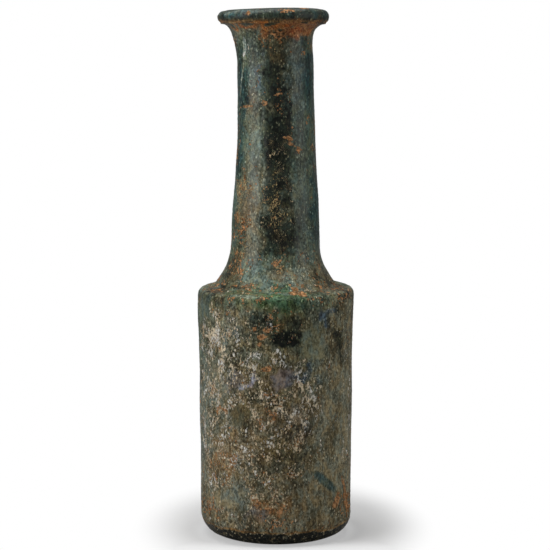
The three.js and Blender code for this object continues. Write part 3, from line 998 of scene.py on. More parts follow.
        # A painted highlight: a pale grey ring along the shoulder's edge.
        edge = bell(height, self.form.wall_top + 7.3, 0.6) * patchy
        for where, strength in ((foot_line, 0.4), (crest, 0.5), (seam, 0.75)):
            traces[Trace.SOIL] = np.maximum(traces[Trace.SOIL], strength * where)
        rings = ((foot_line, 0.75, Tone.OCHRE), (seam, 0.9, Tone.OCHRE), (edge, 0.55, Tone.PALE_GREY))
        for where, strength, ring_tone in rings:
            self.tint(tone, ring_tone, strength * where)


# Glass


@dataclass
class GlassSkin:
    """The whole skin of the glass as one even grid, so that the stages meet without a seam to be seen.

    Attributes:
        form: The bottle's form.
        turns: How many columns the grid has round the bottle.
        outside_step: The distance between its rows outside, in millimetres.
        inside_step: The same inside.
        runs: The rows of each stage, on the outside and on the inside.
    """

    form: BottleForm
    turns: int = 360
    outside_step: float = 0.62
    inside_step: float = 3.0
    runs: dict[tuple[Stage, bool], np.ndarray] = field(default_factory=dict)

    def __post_init__(self) -> None:
        """Lays the rows out and works the glass."""
        rows: list[np.ndarray] = []
        count = 0
        walk = [(stage, True) for stage in Stage]
        walk += [(stage, False) for stage in (Stage.NECK, Stage.SHOULDER, Stage.BODY_WALL, Stage.BASE)]
        for stage, outer in walk:
            line = self.form.outside(stage) if outer else self.form.inside(stage)
            points = evenly(line, self.outside_step if outer else self.inside_step)
            if rows:
                points = points[1:]
            first = count - 1 if rows else 0
            rows.append(points)
            count += len(points)
            self.runs[stage, outer] = np.arange(first, count)
        self.rows = np.vstack(rows)
        self.last_outside = int(self.runs[Stage.LIP, True][-1])
        steps = np.linalg.norm(np.diff(self.rows[:self.last_outside + 1], axis=0), axis=1)
        self.walked = np.concatenate([[0.0], np.cumsum(steps)])
        self.work()

    def work(self) -> None:
        """Moves the grid from the turned form to the worked glass, and finds its normals."""
        along = np.gradient(self.rows, axis=0)
        along /= np.maximum(np.linalg.norm(along, axis=1)[:, None], 1e-9)
        self.exact = self.all_round(self.rows)
        square = self.all_round(np.column_stack([along[:, 1], -along[:, 0]]))
        self.outside = np.repeat(np.arange(len(self.rows)) <= self.last_outside, self.turns)
        self.placed = HandWork(self.form).move(self.exact, square, self.outside)
        self.normals = self.find_normals(self.placed.reshape(-1, self.turns, 3)).reshape(-1, 3)

    def all_round(self, line: np.ndarray) -> np.ndarray:
        """Turns rows of (radius, height) about the axis.

        Args:
            line: The rows.

        Returns:
            One point for each row and column.
        """
        turn = np.arange(self.turns) * 2 * math.pi / self.turns
        radius, height = line[:, :1], line[:, 1:]
        grid = np.broadcast_arrays(radius * np.cos(turn), radius * np.sin(turn), height)
        return np.stack(grid, axis=-1).reshape(-1, 3)

    @staticmethod
    def find_normals(grid: np.ndarray) -> np.ndarray:
        """The outward normals of the grid.

        Args:
            grid: Points by row and column.

        Returns:
            Unit normals by row and column.
        """
        round_way = np.roll(grid, -1, axis=1) - np.roll(grid, 1, axis=1)
        normals = np.cross(round_way, np.gradient(grid, axis=0))
        normals[0], normals[-1] = (0.0, 0.0, -1.0), (0.0, 0.0, 1.0)
        return normals / np.maximum(np.linalg.norm(normals, axis=2)[..., None], 1e-12)

    def walk_to(self, height: float) -> float:
        """How far up the outside a height between the foot of the wall and the lip is, as walked."""
        run = slice(self.runs[Stage.BODY_WALL, True][0], self.runs[Stage.NECK, True][-1] + 1)
        return float(np.interp(height, self.rows[run, 1], self.walked[run]))

    def on_outside(self, walked: np.ndarray, azimuth: np.ndarray) -> tuple[np.ndarray, ...]:
        """Looks up places on the outside of the worked glass.

        Args:
            walked: How far up the outside each place is.
            azimuth: Its azimuth in degrees from the front.

        Returns:
            The points, their normals, and the points on the turned form.
        """
        row = np.interp(walked, self.walked, np.arange(len(self.walked)))
        row_low = np.minimum(row.astype(int), self.last_outside - 1)
        row_share = (row - row_low)[:, None]
        column = (azimuth - 90.0) % 360.0 / 360.0 * self.turns
        column_low = column.astype(int) % self.turns
        column_high = (column_low + 1) % self.turns
        share = (column - np.floor(column))[:, None]
        found = []
        for values in (self.placed, self.normals, self.exact):
            grid = values.reshape(-1, self.turns, 3)
            low, high = (
                grid[level, column_low] * (1 - share) + grid[level, column_high] * share
                for level in (row_low, row_low + 1)
            )
            found.append(low * (1 - row_share) + high * row_share)
        return tuple(found)

    def outline(self, stage: Stage) -> list[int]:
        """The rows that make one stage's closed outline, in walking order."""
        return [*self.runs[stage, True], *self.runs.get((stage, False), ())]


@dataclass
class GlassStage:
    """One stage of the glass: a closed solid turned from its outline and worked to the hand-made skin.

    Attributes:
        skin: The whole skin.
        stage: The stage.
        paint: The weathering on the skin.
        joint_rows: How many rows a face spans at most where it isn't a joint between stages.
    """

    skin: GlassSkin
    stage: Stage
    paint: dict[str, np.ndarray]
    joint_rows: int = 1

    def build(self) -> bpy.types.Object:
        """Turns the outline and moves every point to the worked skin.

        Returns:
            The piece.
        """
        bm = bmesh.new()
        row_layer = bm.verts.layers.int.new("row")
        outline = self.skin.outline(self.stage)
        corners = []
        for row in outline:
            radius, height = self.skin.rows[row]
            corner = bm.verts.new((radius, 0.0, height))
            corner[row_layer] = row
            corners.append(corner)
        edges = [bm.edges.new(pair) for pair in zip(corners, corners[1:])]
        if self.skin.rows[outline[0]][0] > 0:
            edges.append(bm.edges.new((corners[-1], corners[0])))
        turn_round(bm, corners + edges, self.skin.turns)
        piece = make_piece(bm, f"glass_{self.stage.value}")
        self.work(piece.data)
        return piece

    def work(self, mesh: bpy.types.Mesh) -> None:
        """Moves the turned points to the worked skin, and gives them its paint and normals.

        Args:
            mesh: The turned mesh.
        """
        turned = read(mesh.vertices, "co", width=3)
        rows = read(mesh.attributes["row"].data, "value", np.int32)
        turn = np.arctan2(turned[:, 1], turned[:, 0]) % (2 * math.pi)
        column = np.rint(turn / (2 * math.pi) * self.skin.turns).astype(int) % self.skin.turns
        index = rows * self.skin.turns + column
        mesh.vertices.foreach_set("co", (self.skin.placed[index] * MM).ravel())
        mesh.update()
        self.store_paint(mesh, index)
        self.shade(mesh, rows, self.skin.normals[index])

    def store_paint(self, mesh: bpy.types.Mesh, index: np.ndarray) -> None:
        """Keeps the weathering on the mesh as attributes that its material reads.

        Args:
            mesh: The mesh.
            index: Each point's place in the skin's grid.
        """
        for name, values in self.paint.items():
            stored, kind, key = values[index], "FLOAT", "value"
            if stored.ndim > 1:
                stored, kind, key = np.column_stack([stored, np.ones(len(index))]), "FLOAT_COLOR", "color"
            layer = mesh.attributes.new(name, kind, "POINT")
            layer.data.foreach_set(key, stored.astype(np.float32).ravel())

    def shade(self, mesh: bpy.types.Mesh, rows: np.ndarray, normals: np.ndarray) -> None:
        """Shades the skin smooth across the stages' joints and the level joint faces flat.

        Args:
            mesh: The mesh.
            rows: Each point's row in the skin.
            normals: Each point's normal in the skin.
        """
        points = read(mesh.loops, "vertex_index", np.int32)
        starts, totals = (read(mesh.polygons, name, np.int32) for name in ("loop_start", "loop_total"))
        face = np.repeat(np.arange(len(mesh.polygons)), totals)
        flat = read(mesh.polygons, "normal", width=3)[face]
        spread = np.maximum.reduceat(rows[points], starts) - np.minimum.reduceat(rows[points], starts)
        joint = (spread > self.joint_rows)[face]
        mesh.normals_split_custom_set(np.where(joint[:, None], flat, normals[points]).tolist())
        mesh.attributes.remove(mesh.attributes["row"])


@dataclass(frozen=True)
class CrustPlan:
    """Where a crust lies and how it is broken up.

    Attributes:
        solid: The solid that it stands for, which gives its height.
        slot: What it is made of.
        azimuth: The azimuth of its middle, in degrees from the front.
        wide: How many degrees it spans.
        tall: How tall it is along the glass, in millimetres.
        drift: How many degrees its top lies ahead of its foot.
        sparse: How bare it is between its islands: 0 is half covered, 1 is nearly bare.
        grain: The size of its islands, in millimetres.
        upright: How many times taller than wide its islands are.
    """

    solid: str
    slot: Slot
    azimuth: float
    wide: float
    tall: float
    drift: float = 0.0
    sparse: float = 0.3
    grain: float = 3.0
    upright: float = 1.0


CRUSTS = (
    CrustPlan("soil_under_lip", Slot.SOIL, 8, 92, 6, sparse=-0.1, grain=4.0),
    CrustPlan("soil_neck_streak", Slot.SOIL, 28, 30, 6, drift=-14, sparse=0.2, grain=2.8),
    CrustPlan("soil_neck_foot", Slot.SOIL, -52, 40, 17, drift=12, sparse=0.4, grain=2.8),
    CrustPlan("soil_shoulder", Slot.SOIL, 46, 30, 11, sparse=0.4, grain=3.0),
    CrustPlan("soil_low_front", Slot.SOIL, -4, 48, 11, sparse=0.4, grain=3.0),
    CrustPlan("soil_heel_right", Slot.SOIL, 66, 30, 17, drift=-10, sparse=0.15, grain=3.0, upright=1.8),
    CrustPlan("soil_heel_left", Slot.SOIL, -66, 30, 11, sparse=0.5, grain=3.0),
    CrustPlan("soil_back_neck", Slot.SOIL, 172, 60, 6, sparse=0.2, grain=3.4),
    CrustPlan("soil_back_foot", Slot.SOIL, -152, 50, 17, sparse=0.5, grain=3.4),
    CrustPlan("scale_upper_body", Slot.SCALE, -62, 30, 26, sparse=0.5, grain=2.4, upright=1.8),
    CrustPlan("scale_mid_body", Slot.SCALE, -20, 34, 26, drift=10, sparse=0.6, grain=2.4, upright=1.5),
    CrustPlan("scale_low_body", Slot.SCALE, -34, 58, 11, drift=6, sparse=0.5, grain=2.2, upright=1.4),
    CrustPlan("scale_back_body", Slot.SCALE, 158, 46, 26, drift=-8, sparse=0.55, grain=2.4, upright=1.6),
)


@dataclass
class CrustPiece:
    """Islands of hard crust that follow the worked glass, each closed and thinning out to its edge.

    Attributes:
        skin: The glass's skin.
        plan: Where the crust lies and how it is broken up.
        seed: The seed of its islands.
        step: The size of the sheet's squares, in millimetres.
        sunk: How deep its underside lies in the glass.
        thickest: How far an island stands out at most.
        rise: How far inside an island it has come near to that.
        least_inside: The least that a point counts as inside its island.
        clump_sizes: The sizes of its clumps beside its grain, each with its share.
        rim_bareness: How much barer the sheet is at the ends of its width and height.
        rim_sharpness: How suddenly it gets so.
    """

    skin: GlassSkin
    plan: CrustPlan
    seed: int
    step: float = 0.25
    sunk: float = 0.06
    thickest: float = 0.4
    rise: float = 0.5
    least_inside: float = 0.02
    clump_sizes: tuple[tuple[float, float], ...] = ((1.0, 0.35), (0.5, 0.5), (0.27, 0.5))
    rim_bareness: float = 2.2
    rim_sharpness: int = 5

    def __post_init__(self) -> None:
        """Finds the crust's middle on the glass and its half sizes."""
        low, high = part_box(self.plan.solid)
        self.centre = self.skin.walk_to((low.z + high.z) / 2 / MM)
        point, _, _ = self.skin.on_outside(np.array([self.centre]), np.array([self.plan.azimuth]))
        self.radius = float(np.hypot(point[0, 0], point[0, 1]))
        self.half_wide = math.radians(self.plan.wide / 2) * self.radius
        self.half_tall = self.plan.tall / 2

    def build(self) -> bpy.types.Object:
        """Lays a sheet on the glass, breaks it into islands and thickens them.

        Returns:
            The piece.
        """
        bm = bmesh.new()
        columns, rows = (max(4, round(2 * half / self.step)) for half in (self.half_wide, self.half_tall))
        bmesh.ops.create_grid(bm, x_segments=columns, y_segments=rows, size=1.0)
        self.break_up(bm)
        top = bm.verts.layers.int.new("top")
        raised = bmesh.ops.extrude_face_region(bm, geom=bm.faces[:], use_keep_orig=True)
        for item in raised["geom"]:
            if isinstance(item, bmesh.types.BMVert):
                item[top] = 1
        is_top = np.array([vert[top] for vert in bm.verts], dtype=bool)
        points, normals, inside = self.lay(bm)
        proud = self.thickest * (1 - np.exp(-np.maximum(inside, self.least_inside) / self.rise))
        placed = (points + normals * np.where(is_top, proud, -self.sunk)[:, None]) * MM
        for vert, place in zip(bm.verts, placed):
            vert.co = place
        bmesh.ops.recalc_face_normals(bm, faces=bm.faces)
        piece = make_piece(bm, f"crust_{self.plan.solid}")
        piece.data.attributes.remove(piece.data.attributes["top"])
        return piece

    def break_up(self, bm: bmesh.types.BMesh) -> None:
        """Cuts the flat sheet into islands that nowhere touch at a single point, and eases their edges.

        Args:
            bm: The flat sheet, changed in place.
        """
        _, _, inside = self.lay(bm)
        bm.verts.ensure_lookup_table()
        bare = [face for face in bm.faces if min(inside[corner.index] for corner in face.verts) < 0]
        while bare:
            bmesh.ops.delete(bm, geom=bare, context="FACES")
            bare = self.pinched_faces(bm)
        edge = [vert for vert in bm.verts if vert.is_boundary]
        for _ in range(2):
            bmesh.ops.smooth_vert(bm, verts=edge, factor=0.5, use_axis_x=True, use_axis_y=True)

    @staticmethod
    def pinched_faces(bm: bmesh.types.BMesh) -> list[bmesh.types.BMFace]:
        """The faces round the points at which two islands only just touch."""
        pinched = {vert for vert in bm.verts if sum(edge.is_boundary for edge in vert.link_edges) > 2}
        return [face for face in bm.faces if not pinched.isdisjoint(face.verts)]

    def lay(self, bm: bmesh.types.BMesh) -> tuple[np.ndarray, np.ndarray, np.ndarray]:
        """Reads the flat sheet's points, from -1 to 1 both ways, as places on the glass.

        Args:
            bm: The flat sheet.

        Returns:
            Each point's place on the worked glass, the normal there, and how far it is inside an island.
        """
        flat = np.array([vert.co[:2] for vert in bm.verts])
        across, along = flat[:, 0] * self.half_wide, flat[:, 1] * self.half_tall
        turned = np.degrees(across / self.radius) + along / self.half_tall * self.plan.drift / 2
        points, normals, exact = self.skin.on_outside(self.centre + along, self.plan.azimuth + turned)
        clumps = sum(
            share * Ripples(self.plan.grain * size, self.seed * 10 + turn, self.plan.upright).at(exact)
            for turn, (size, share) in enumerate(self.clump_sizes)
        )
        rim = self.rim_bareness * np.hypot(flat[:, 0], flat[:, 1]) ** self.rim_sharpness
        return points, normals, clumps - self.plan.sparse - rim


@dataclass
class ScarPiece:
    """The chipped ring of glass that the pontil iron left under the base, in millimetres.

    Attributes:
        solid: The solid that it stands for.
        thinned: It takes one in so many points of an arc as its section.
        seat: How far it reaches into the base.
        left: How much of its height is left on average.
        chips: How much its chips change that, and where they are.
    """

    solid: str = "pontil_scar"
    wide: float = 2.4
    columns: int = 120
    thinned: int = 3
    seat: float = 0.08
    left: float = 0.72
    chips: tuple[tuple[float, Ripples], ...] = ((0.2, Ripples(4.0, 91)), (0.1, Ripples(1.6, 92)))
    least_left: float = 0.25

    def build(self) -> bpy.types.Object:
        """Turns a rounded ring and chips its lower side.

        Returns:
            The piece.
        """
        low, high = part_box(self.solid)
        foot, top, outer = low.z / MM, high.z / MM, high.x / MM
        rounded = arc((outer - self.wide / 2, top), self.wide / 2, top - foot, -math.pi, 0.0)[::self.thinned]
        bm = bmesh.new()
        corners = [bm.verts.new((radius, 0.0, height)) for radius, height in rounded]
        edges = [bm.edges.new(pair) for pair in zip(corners, corners[1:] + corners[:1])]
        turn_round(bm, corners + edges, self.columns)
        exact = np.array([vert.co for vert in bm.verts])
        left = self.left + sum(share * chips.at(exact) for share, chips in self.chips)
        for vert, share in zip(bm.verts, np.clip(left, self.least_left, 1.0)):
            vert.co.z = top + self.seat - (top + self.seat - vert.co.z) * share
        bmesh.ops.scale(bm, vec=(MM, MM, MM), verts=bm.verts)
        return make_piece(bm, "glass_pontil_scar")


# Shader graphs


class Graph:
    """Builds the nodes of a material or a group, with short calls for what recurs."""

    def __init__(self, tree: bpy.types.NodeTree) -> None:
        """Starts on an empty tree."""
        self.tree = tree
        tree.nodes.clear()

    def node(self, kind: str, inputs: dict | None = None, **settings: object) -> bpy.types.Node:
        """Adds a node, sets it and feeds its inputs.

        Args:
            kind: The node's type.
            inputs: Values or sockets by the input's name or number.
            **settings: The node's own properties.

        Returns:
            The node.
        """
        made = self.tree.nodes.new(kind)
        for name, value in settings.items():
            setattr(made, name, value)
        for name, value in (inputs or {}).items():
            self.feed(made.inputs[name], value)
        return made

    def feed(self, socket: Socket, value: Feed) -> None:
        """Links a socket to an input, or sets its value.

        Args:
            socket: The input.
            value: The socket or the value.
        """
        if isinstance(value, Socket):
            self.tree.links.new(value, socket)
        elif isinstance(value, tuple) and socket.type == "RGBA":
            socket.default_value = (*value, 1.0)
        else:
            socket.default_value = value

    def maths(self, operation: str, *values: Feed) -> Socket:
        """The result of a sum on one, two or three numbers."""
        return self.node("ShaderNodeMath", dict(enumerate(values)), operation=operation).outputs[0]

    def vector(self, operation: str, *values: Feed) -> Socket:
        """The result of a sum on one, two or three vectors."""
        return self.node("ShaderNodeVectorMath", dict(enumerate(values)), operation=operation).outputs[0]

    def scaled(self, vector: Feed, factor: Feed) -> Socket:
        """A vector or colour times a number."""
        return self.node("ShaderNodeVectorMath", {0: vector, "Scale": factor}, operation="SCALE").outputs[0]

    def length(self, vector: Feed) -> Socket:
        """A vector's length."""
        return self.node("ShaderNodeVectorMath", {0: vector}, operation="LENGTH").outputs["Value"]

    def product(self, *values: Feed) -> Socket:
        """Numbers multiplied one after another."""
        return reduce(partial(self.maths, "MULTIPLY"), values)

    def total(self, *values: Feed) -> Socket:
        """Numbers added one after another."""
        return reduce(partial(self.maths, "ADD"), values)

    def largest(self, *values: Feed) -> Socket:
        """The largest of some numbers."""
        return reduce(partial(self.maths, "MAXIMUM"), values)

    def rest(self, share: Feed) -> Socket:
        """What a share leaves of 1."""
        return self.maths("SUBTRACT", 1.0, share)

    def line(self, value: Feed, slope: Feed, start: Feed) -> Socket:
        """A number times a slope, and added to a start."""
        return self.maths("MULTIPLY_ADD", value, slope, start)

    def ramp(self, value: Feed, low: Feed, high: Feed, start: float = 0.0, end: float = 1.0) -> Socket:
        """A smooth step.

        Args:
            value: The number that it follows.
            low: Where that it starts.
            high: Where it ends.
            start: What it starts from.
            end: What it ends at.

        Returns:
            The step's height.
        """
        spans = {"From Min": low, "From Max": high, "To Min": start, "To Max": end}
        made = self.node("ShaderNodeMapRange", {"Value": value, **spans}, interpolation_type="SMOOTHSTEP")
        return made.outputs["Result"]

    def blend(self, share: Feed, first: Feed, second: Feed) -> Socket:
        """A colour between two colours."""
        return self.node("ShaderNodeMix", {0: share, 6: first, 7: second}, data_type="RGBA").outputs[2]

    def between(self, share: Feed, first: Feed, second: Feed) -> Socket:
        """A number between two numbers."""
        return self.node("ShaderNodeMix", {0: share, 2: first, 3: second}, data_type="FLOAT").outputs[0]

    def group(self, tree: bpy.types.NodeTree, inputs: dict[str, Feed]) -> Socket:
        """The result of a shared group."""
        return self.node("ShaderNodeGroup", inputs, node_tree=tree).outputs[0]

    def attribute(self, name: str, output: str = "Fac") -> Socket:
        """A number or a colour stored on the mesh."""
        return self.node("ShaderNodeAttribute", attribute_name=name).outputs[output]


class EffectGroup(Graph):
    """A shader group that takes a point and some numbers, and gives one number."""

    def __init__(self, name: str, numbers: dict[str, float], result: str) -> None:
        """Makes the group's sockets.

        Args:
            name: The group's name.
            numbers: The numbers that it takes, with their start values.
            result: The name of the number that it gives.
        """
        tree = bpy.data.node_groups.new(name, "ShaderNodeTree")
        tree.interface.new_socket(name="Point", in_out="INPUT", socket_type="NodeSocketVector")
        for label, value in numbers.items():
            socket = tree.interface.new_socket(name=label, in_out="INPUT", socket_type="NodeSocketFloat")
            socket.default_value = value
        tree.interface.new_socket(name=result, in_out="OUTPUT", socket_type="NodeSocketFloat")
        super().__init__(tree)
        self.given = self.node("NodeGroupInput").outputs
        self.result = self.node("NodeGroupOutput").inputs[result]

    def rate(self) -> Socket:
        """How many of the given size go into a metre."""
        return self.maths("DIVIDE", 1.0 / MM, self.given["Size"])

    def drawn_out(self, point: Socket) -> Socket:
        """Squeezes a point's height by the given stretch, and moves it aside by the given shift.

        Args:
            point: The point.

        Returns:
            The moved point, on which an effect is drawn out upwards.
        """
        squeeze = self.maths("DIVIDE", 1.0, self.given["Stretch"])
        along = self.node("ShaderNodeCombineXYZ", {"X": 1.0, "Y": 1.0, "Z": squeeze}).outputs[0]
        return self.vector("ADD", self.vector("MULTIPLY", point, along), self.given["Shift"])

    def finish(self, value: Socket) -> bpy.types.NodeTree:
        """Gives out the result, and returns the group's tree."""
        self.feed(self.result, value)
        return self.tree


@dataclass
class Effects:
    """Shader groups that several materials share, each built once, with sizes in millimetres.

    Attributes:
        roughness: How rough the cloud's fractal field is.
        fleck_detail: The detail of the cloud that the flecks are cut from.
        fleck_levels: Above which value of it there are flecks, at densities of 0 and 1.
        dot_noise: How fast the noise that makes the dots crooked changes, in cells.
        dot_bend: How far it moves them.
        dot_radius: How much larger than the smallest dot the largest one is, and the smallest one's radius.
        dot_edge: How wide a dot's edge is.
    """

    roughness: float = 0.62
    fleck_detail: float = 5.0
    fleck_levels: tuple[float, float] = (0.76, 0.4)
    dot_noise: float = 2.2
    dot_bend: tuple[float, float, float] = (0.9, 0.9, 0.9)
    dot_radius: tuple[float, float] = (0.2, 0.16)
    dot_edge: float = 0.08

    def __post_init__(self) -> None:
        """Builds the groups."""
        self.cloud = self.make_cloud()
        self.flecks = self.make_flecks()
        self.dots = self.make_dots()

    def make_cloud(self) -> bpy.types.NodeTree:
        """Uneven cloud: a fractal field.

        Returns:
            The group's tree.
        """
        group = EffectGroup("cloud", {"Size": 4.0, "Stretch": 1.0, "Detail": 4.0, "Shift": 0.0}, "Value")
        inputs = {"Scale": group.rate(), "Detail": group.given["Detail"], "Roughness": self.roughness}
        noise = group.node("ShaderNodeTexNoise", {"Vector": group.drawn_out(group.given["Point"]), **inputs})
        return group.finish(noise.outputs["Fac"])

    def make_flecks(self) -> bpy.types.NodeTree:
        """Flecks: sharp-edged islands whose density is given.

        Returns:
            The group's tree.
        """
        numbers = {"Density": 0.5, "Size": 2.0, "Stretch": 1.0, "Edge": 0.02, "Shift": 0.0}
        group = EffectGroup("flecks", numbers, "Mask")
        given = {name: group.given[name] for name in ("Point", "Size", "Stretch", "Shift")}
        cloud = group.group(self.cloud, {**given, "Detail": self.fleck_detail})
        none, full = self.fleck_levels
        spans = {"Value": group.given["Density"], "To Min": none, "To Max": full}
        level = group.node("ShaderNodeMapRange", spans).outputs["Result"]
        low, high = (group.maths(side, level, group.given["Edge"]) for side in ("SUBTRACT", "ADD"))
        return group.finish(group.ramp(cloud, low, high))

    def make_dots(self) -> bpy.types.NodeTree:
        """Dots: separate small grains, of which the given share is there.

        Returns:
            The group's tree.
        """
        group = EffectGroup("dots", {"Density": 0.3, "Size": 1.2, "Stretch": 1.0, "Shift": 0.0}, "Mask")
        aside = group.drawn_out(group.scaled(group.given["Point"], group.rate()))
        crooked = group.node("ShaderNodeTexNoise", {"Vector": aside, "Scale": self.dot_noise, "Detail": 2.0})
        bent = group.vector("MULTIPLY_ADD", crooked.outputs["Color"], self.dot_bend, aside)
        cells = group.node("ShaderNodeTexVoronoi", {"Vector": bent, "Scale": 1.0}, feature="F1")
        drawn = group.node("ShaderNodeSeparateColor", {0: cells.outputs["Color"]})
        there = group.maths("LESS_THAN", drawn.outputs["Red"], group.given["Density"])
        reach = group.line(drawn.outputs["Green"], *self.dot_radius)
        inside = group.ramp(cells.outputs["Distance"], group.total(reach, self.dot_edge), reach)
        return group.finish(group.product(there, inside))


@dataclass(frozen=True)
class Cloud:
    """An uneven cloud: its size in millimetres, how far it is drawn out upwards, its detail and shift."""

    size: float
    stretch: float = 1.0
    detail: float = 4.0
    shift: float = 0.0


@dataclass(frozen=True)
class Grit:
    """Flecks or dots: their size in millimetres, how far they are drawn out upwards, shift and edge."""

    size: float
    stretch: float = 1.0
    shift: float = 0.0
    edge: float = 0.025


class Surface(Graph):
    """A material's graph, with the shared effects laid on the piece's own point."""

    def __init__(self, name: str, effects: Effects) -> None:
        """Starts the material.

        Args:
            name: The material's name.
            effects: The shared shader groups.
        """
        self.material = bpy.data.materials.new(name)
        self.material.use_nodes = True
        super().__init__(self.material.node_tree)
        self.effects = effects
        self.point = self.node("ShaderNodeTexCoord").outputs["Object"]

    def cloud(self, look: Cloud) -> Socket:
        """An uneven cloud, from 0 to 1."""
        given = {"Size": look.size, "Stretch": look.stretch, "Detail": look.detail, "Shift": look.shift}
        return self.group(self.effects.cloud, {"Point": self.point, **given})

    def flecks(self, density: Feed, look: Grit, size: Feed | None = None) -> Socket:
        """Sharp-edged islands, as a mask."""
        return self.group(self.effects.flecks, {**self.strewn(density, look, size), "Edge": look.edge})

    def dots(self, density: Feed, look: Grit, size: Feed | None = None) -> Socket:
        """Separate small grains, as a mask."""
        return self.group(self.effects.dots, self.strewn(density, look, size))

    def strewn(self, density: Feed, look: Grit, size: Feed | None) -> dict[str, Feed]:
        """What flecks and dots both take: a density from 0 to 1, a look, and a size if it has another."""
        given = {"Size": look.size if size is None else size, "Stretch": look.stretch, "Shift": look.shift}
        return {"Point": self.point, "Density": density, **given}

    def bump(self, height: Feed, strength: float = 1.0) -> Socket:
        """Normals from a height in millimetres."""
        inputs = {"Strength": strength, "Distance": MM, "Height": height}
        return self.node("ShaderNodeBump", inputs).outputs[0]

    def finish(self, inputs: dict[str, Feed]) -> bpy.types.Material:
        """Ends the material with its shader.

        Args:
            inputs: What the shader is fed.

        Returns:
            The material.
        """
        shader = self.node("ShaderNodeBsdfPrincipled", inputs)
        self.node("ShaderNodeOutputMaterial", {"Surface": shader.outputs[0]})
        return self.material


@dataclass(frozen=True)
class Gathering:
    """Lays specks that gather in clumps.

    Attributes:
        surface: The surface that they lie on.
        lumps: Where the clumps are: above 0 inside them, below 0 between them.
        solid: A mask that leaves crumbs out of their islands.
        lumpy_span: The densities between which they start to gather at all.
        single_share: How many single grains lie about the islands, as a slope and a start.
        single_size: How large those are beside the islands' own size.
    """

    surface: Surface
    lumps: Socket
    solid: Socket
    lumpy_span: tuple[float, float] = (0.1, 0.4)
    single_share: tuple[float, float] = (0.7, -0.14)
    single_size: float = 1.45

    def lay(self, density: Feed, look: Grit, size: Feed | None = None) -> Socket:
        """Lays the specks.

        Args:
            density: How many there are, from 0 to 1.
            look: What they look like.
            size: Their size, where it isn't the look's own.

        Returns:
            Their mask.
        """
        surface = self.surface
        sized = look.size if size is None else size
        lumpy = surface.line(self.lumps, surface.ramp(density, *self.lumpy_span), density)
        islands = surface.product(surface.flecks(lumpy, look, sized), self.solid)
        single = surface.line(lumpy, *self.single_share)
        return surface.largest(islands, surface.dots(single, look, surface.product(sized, self.single_size)))


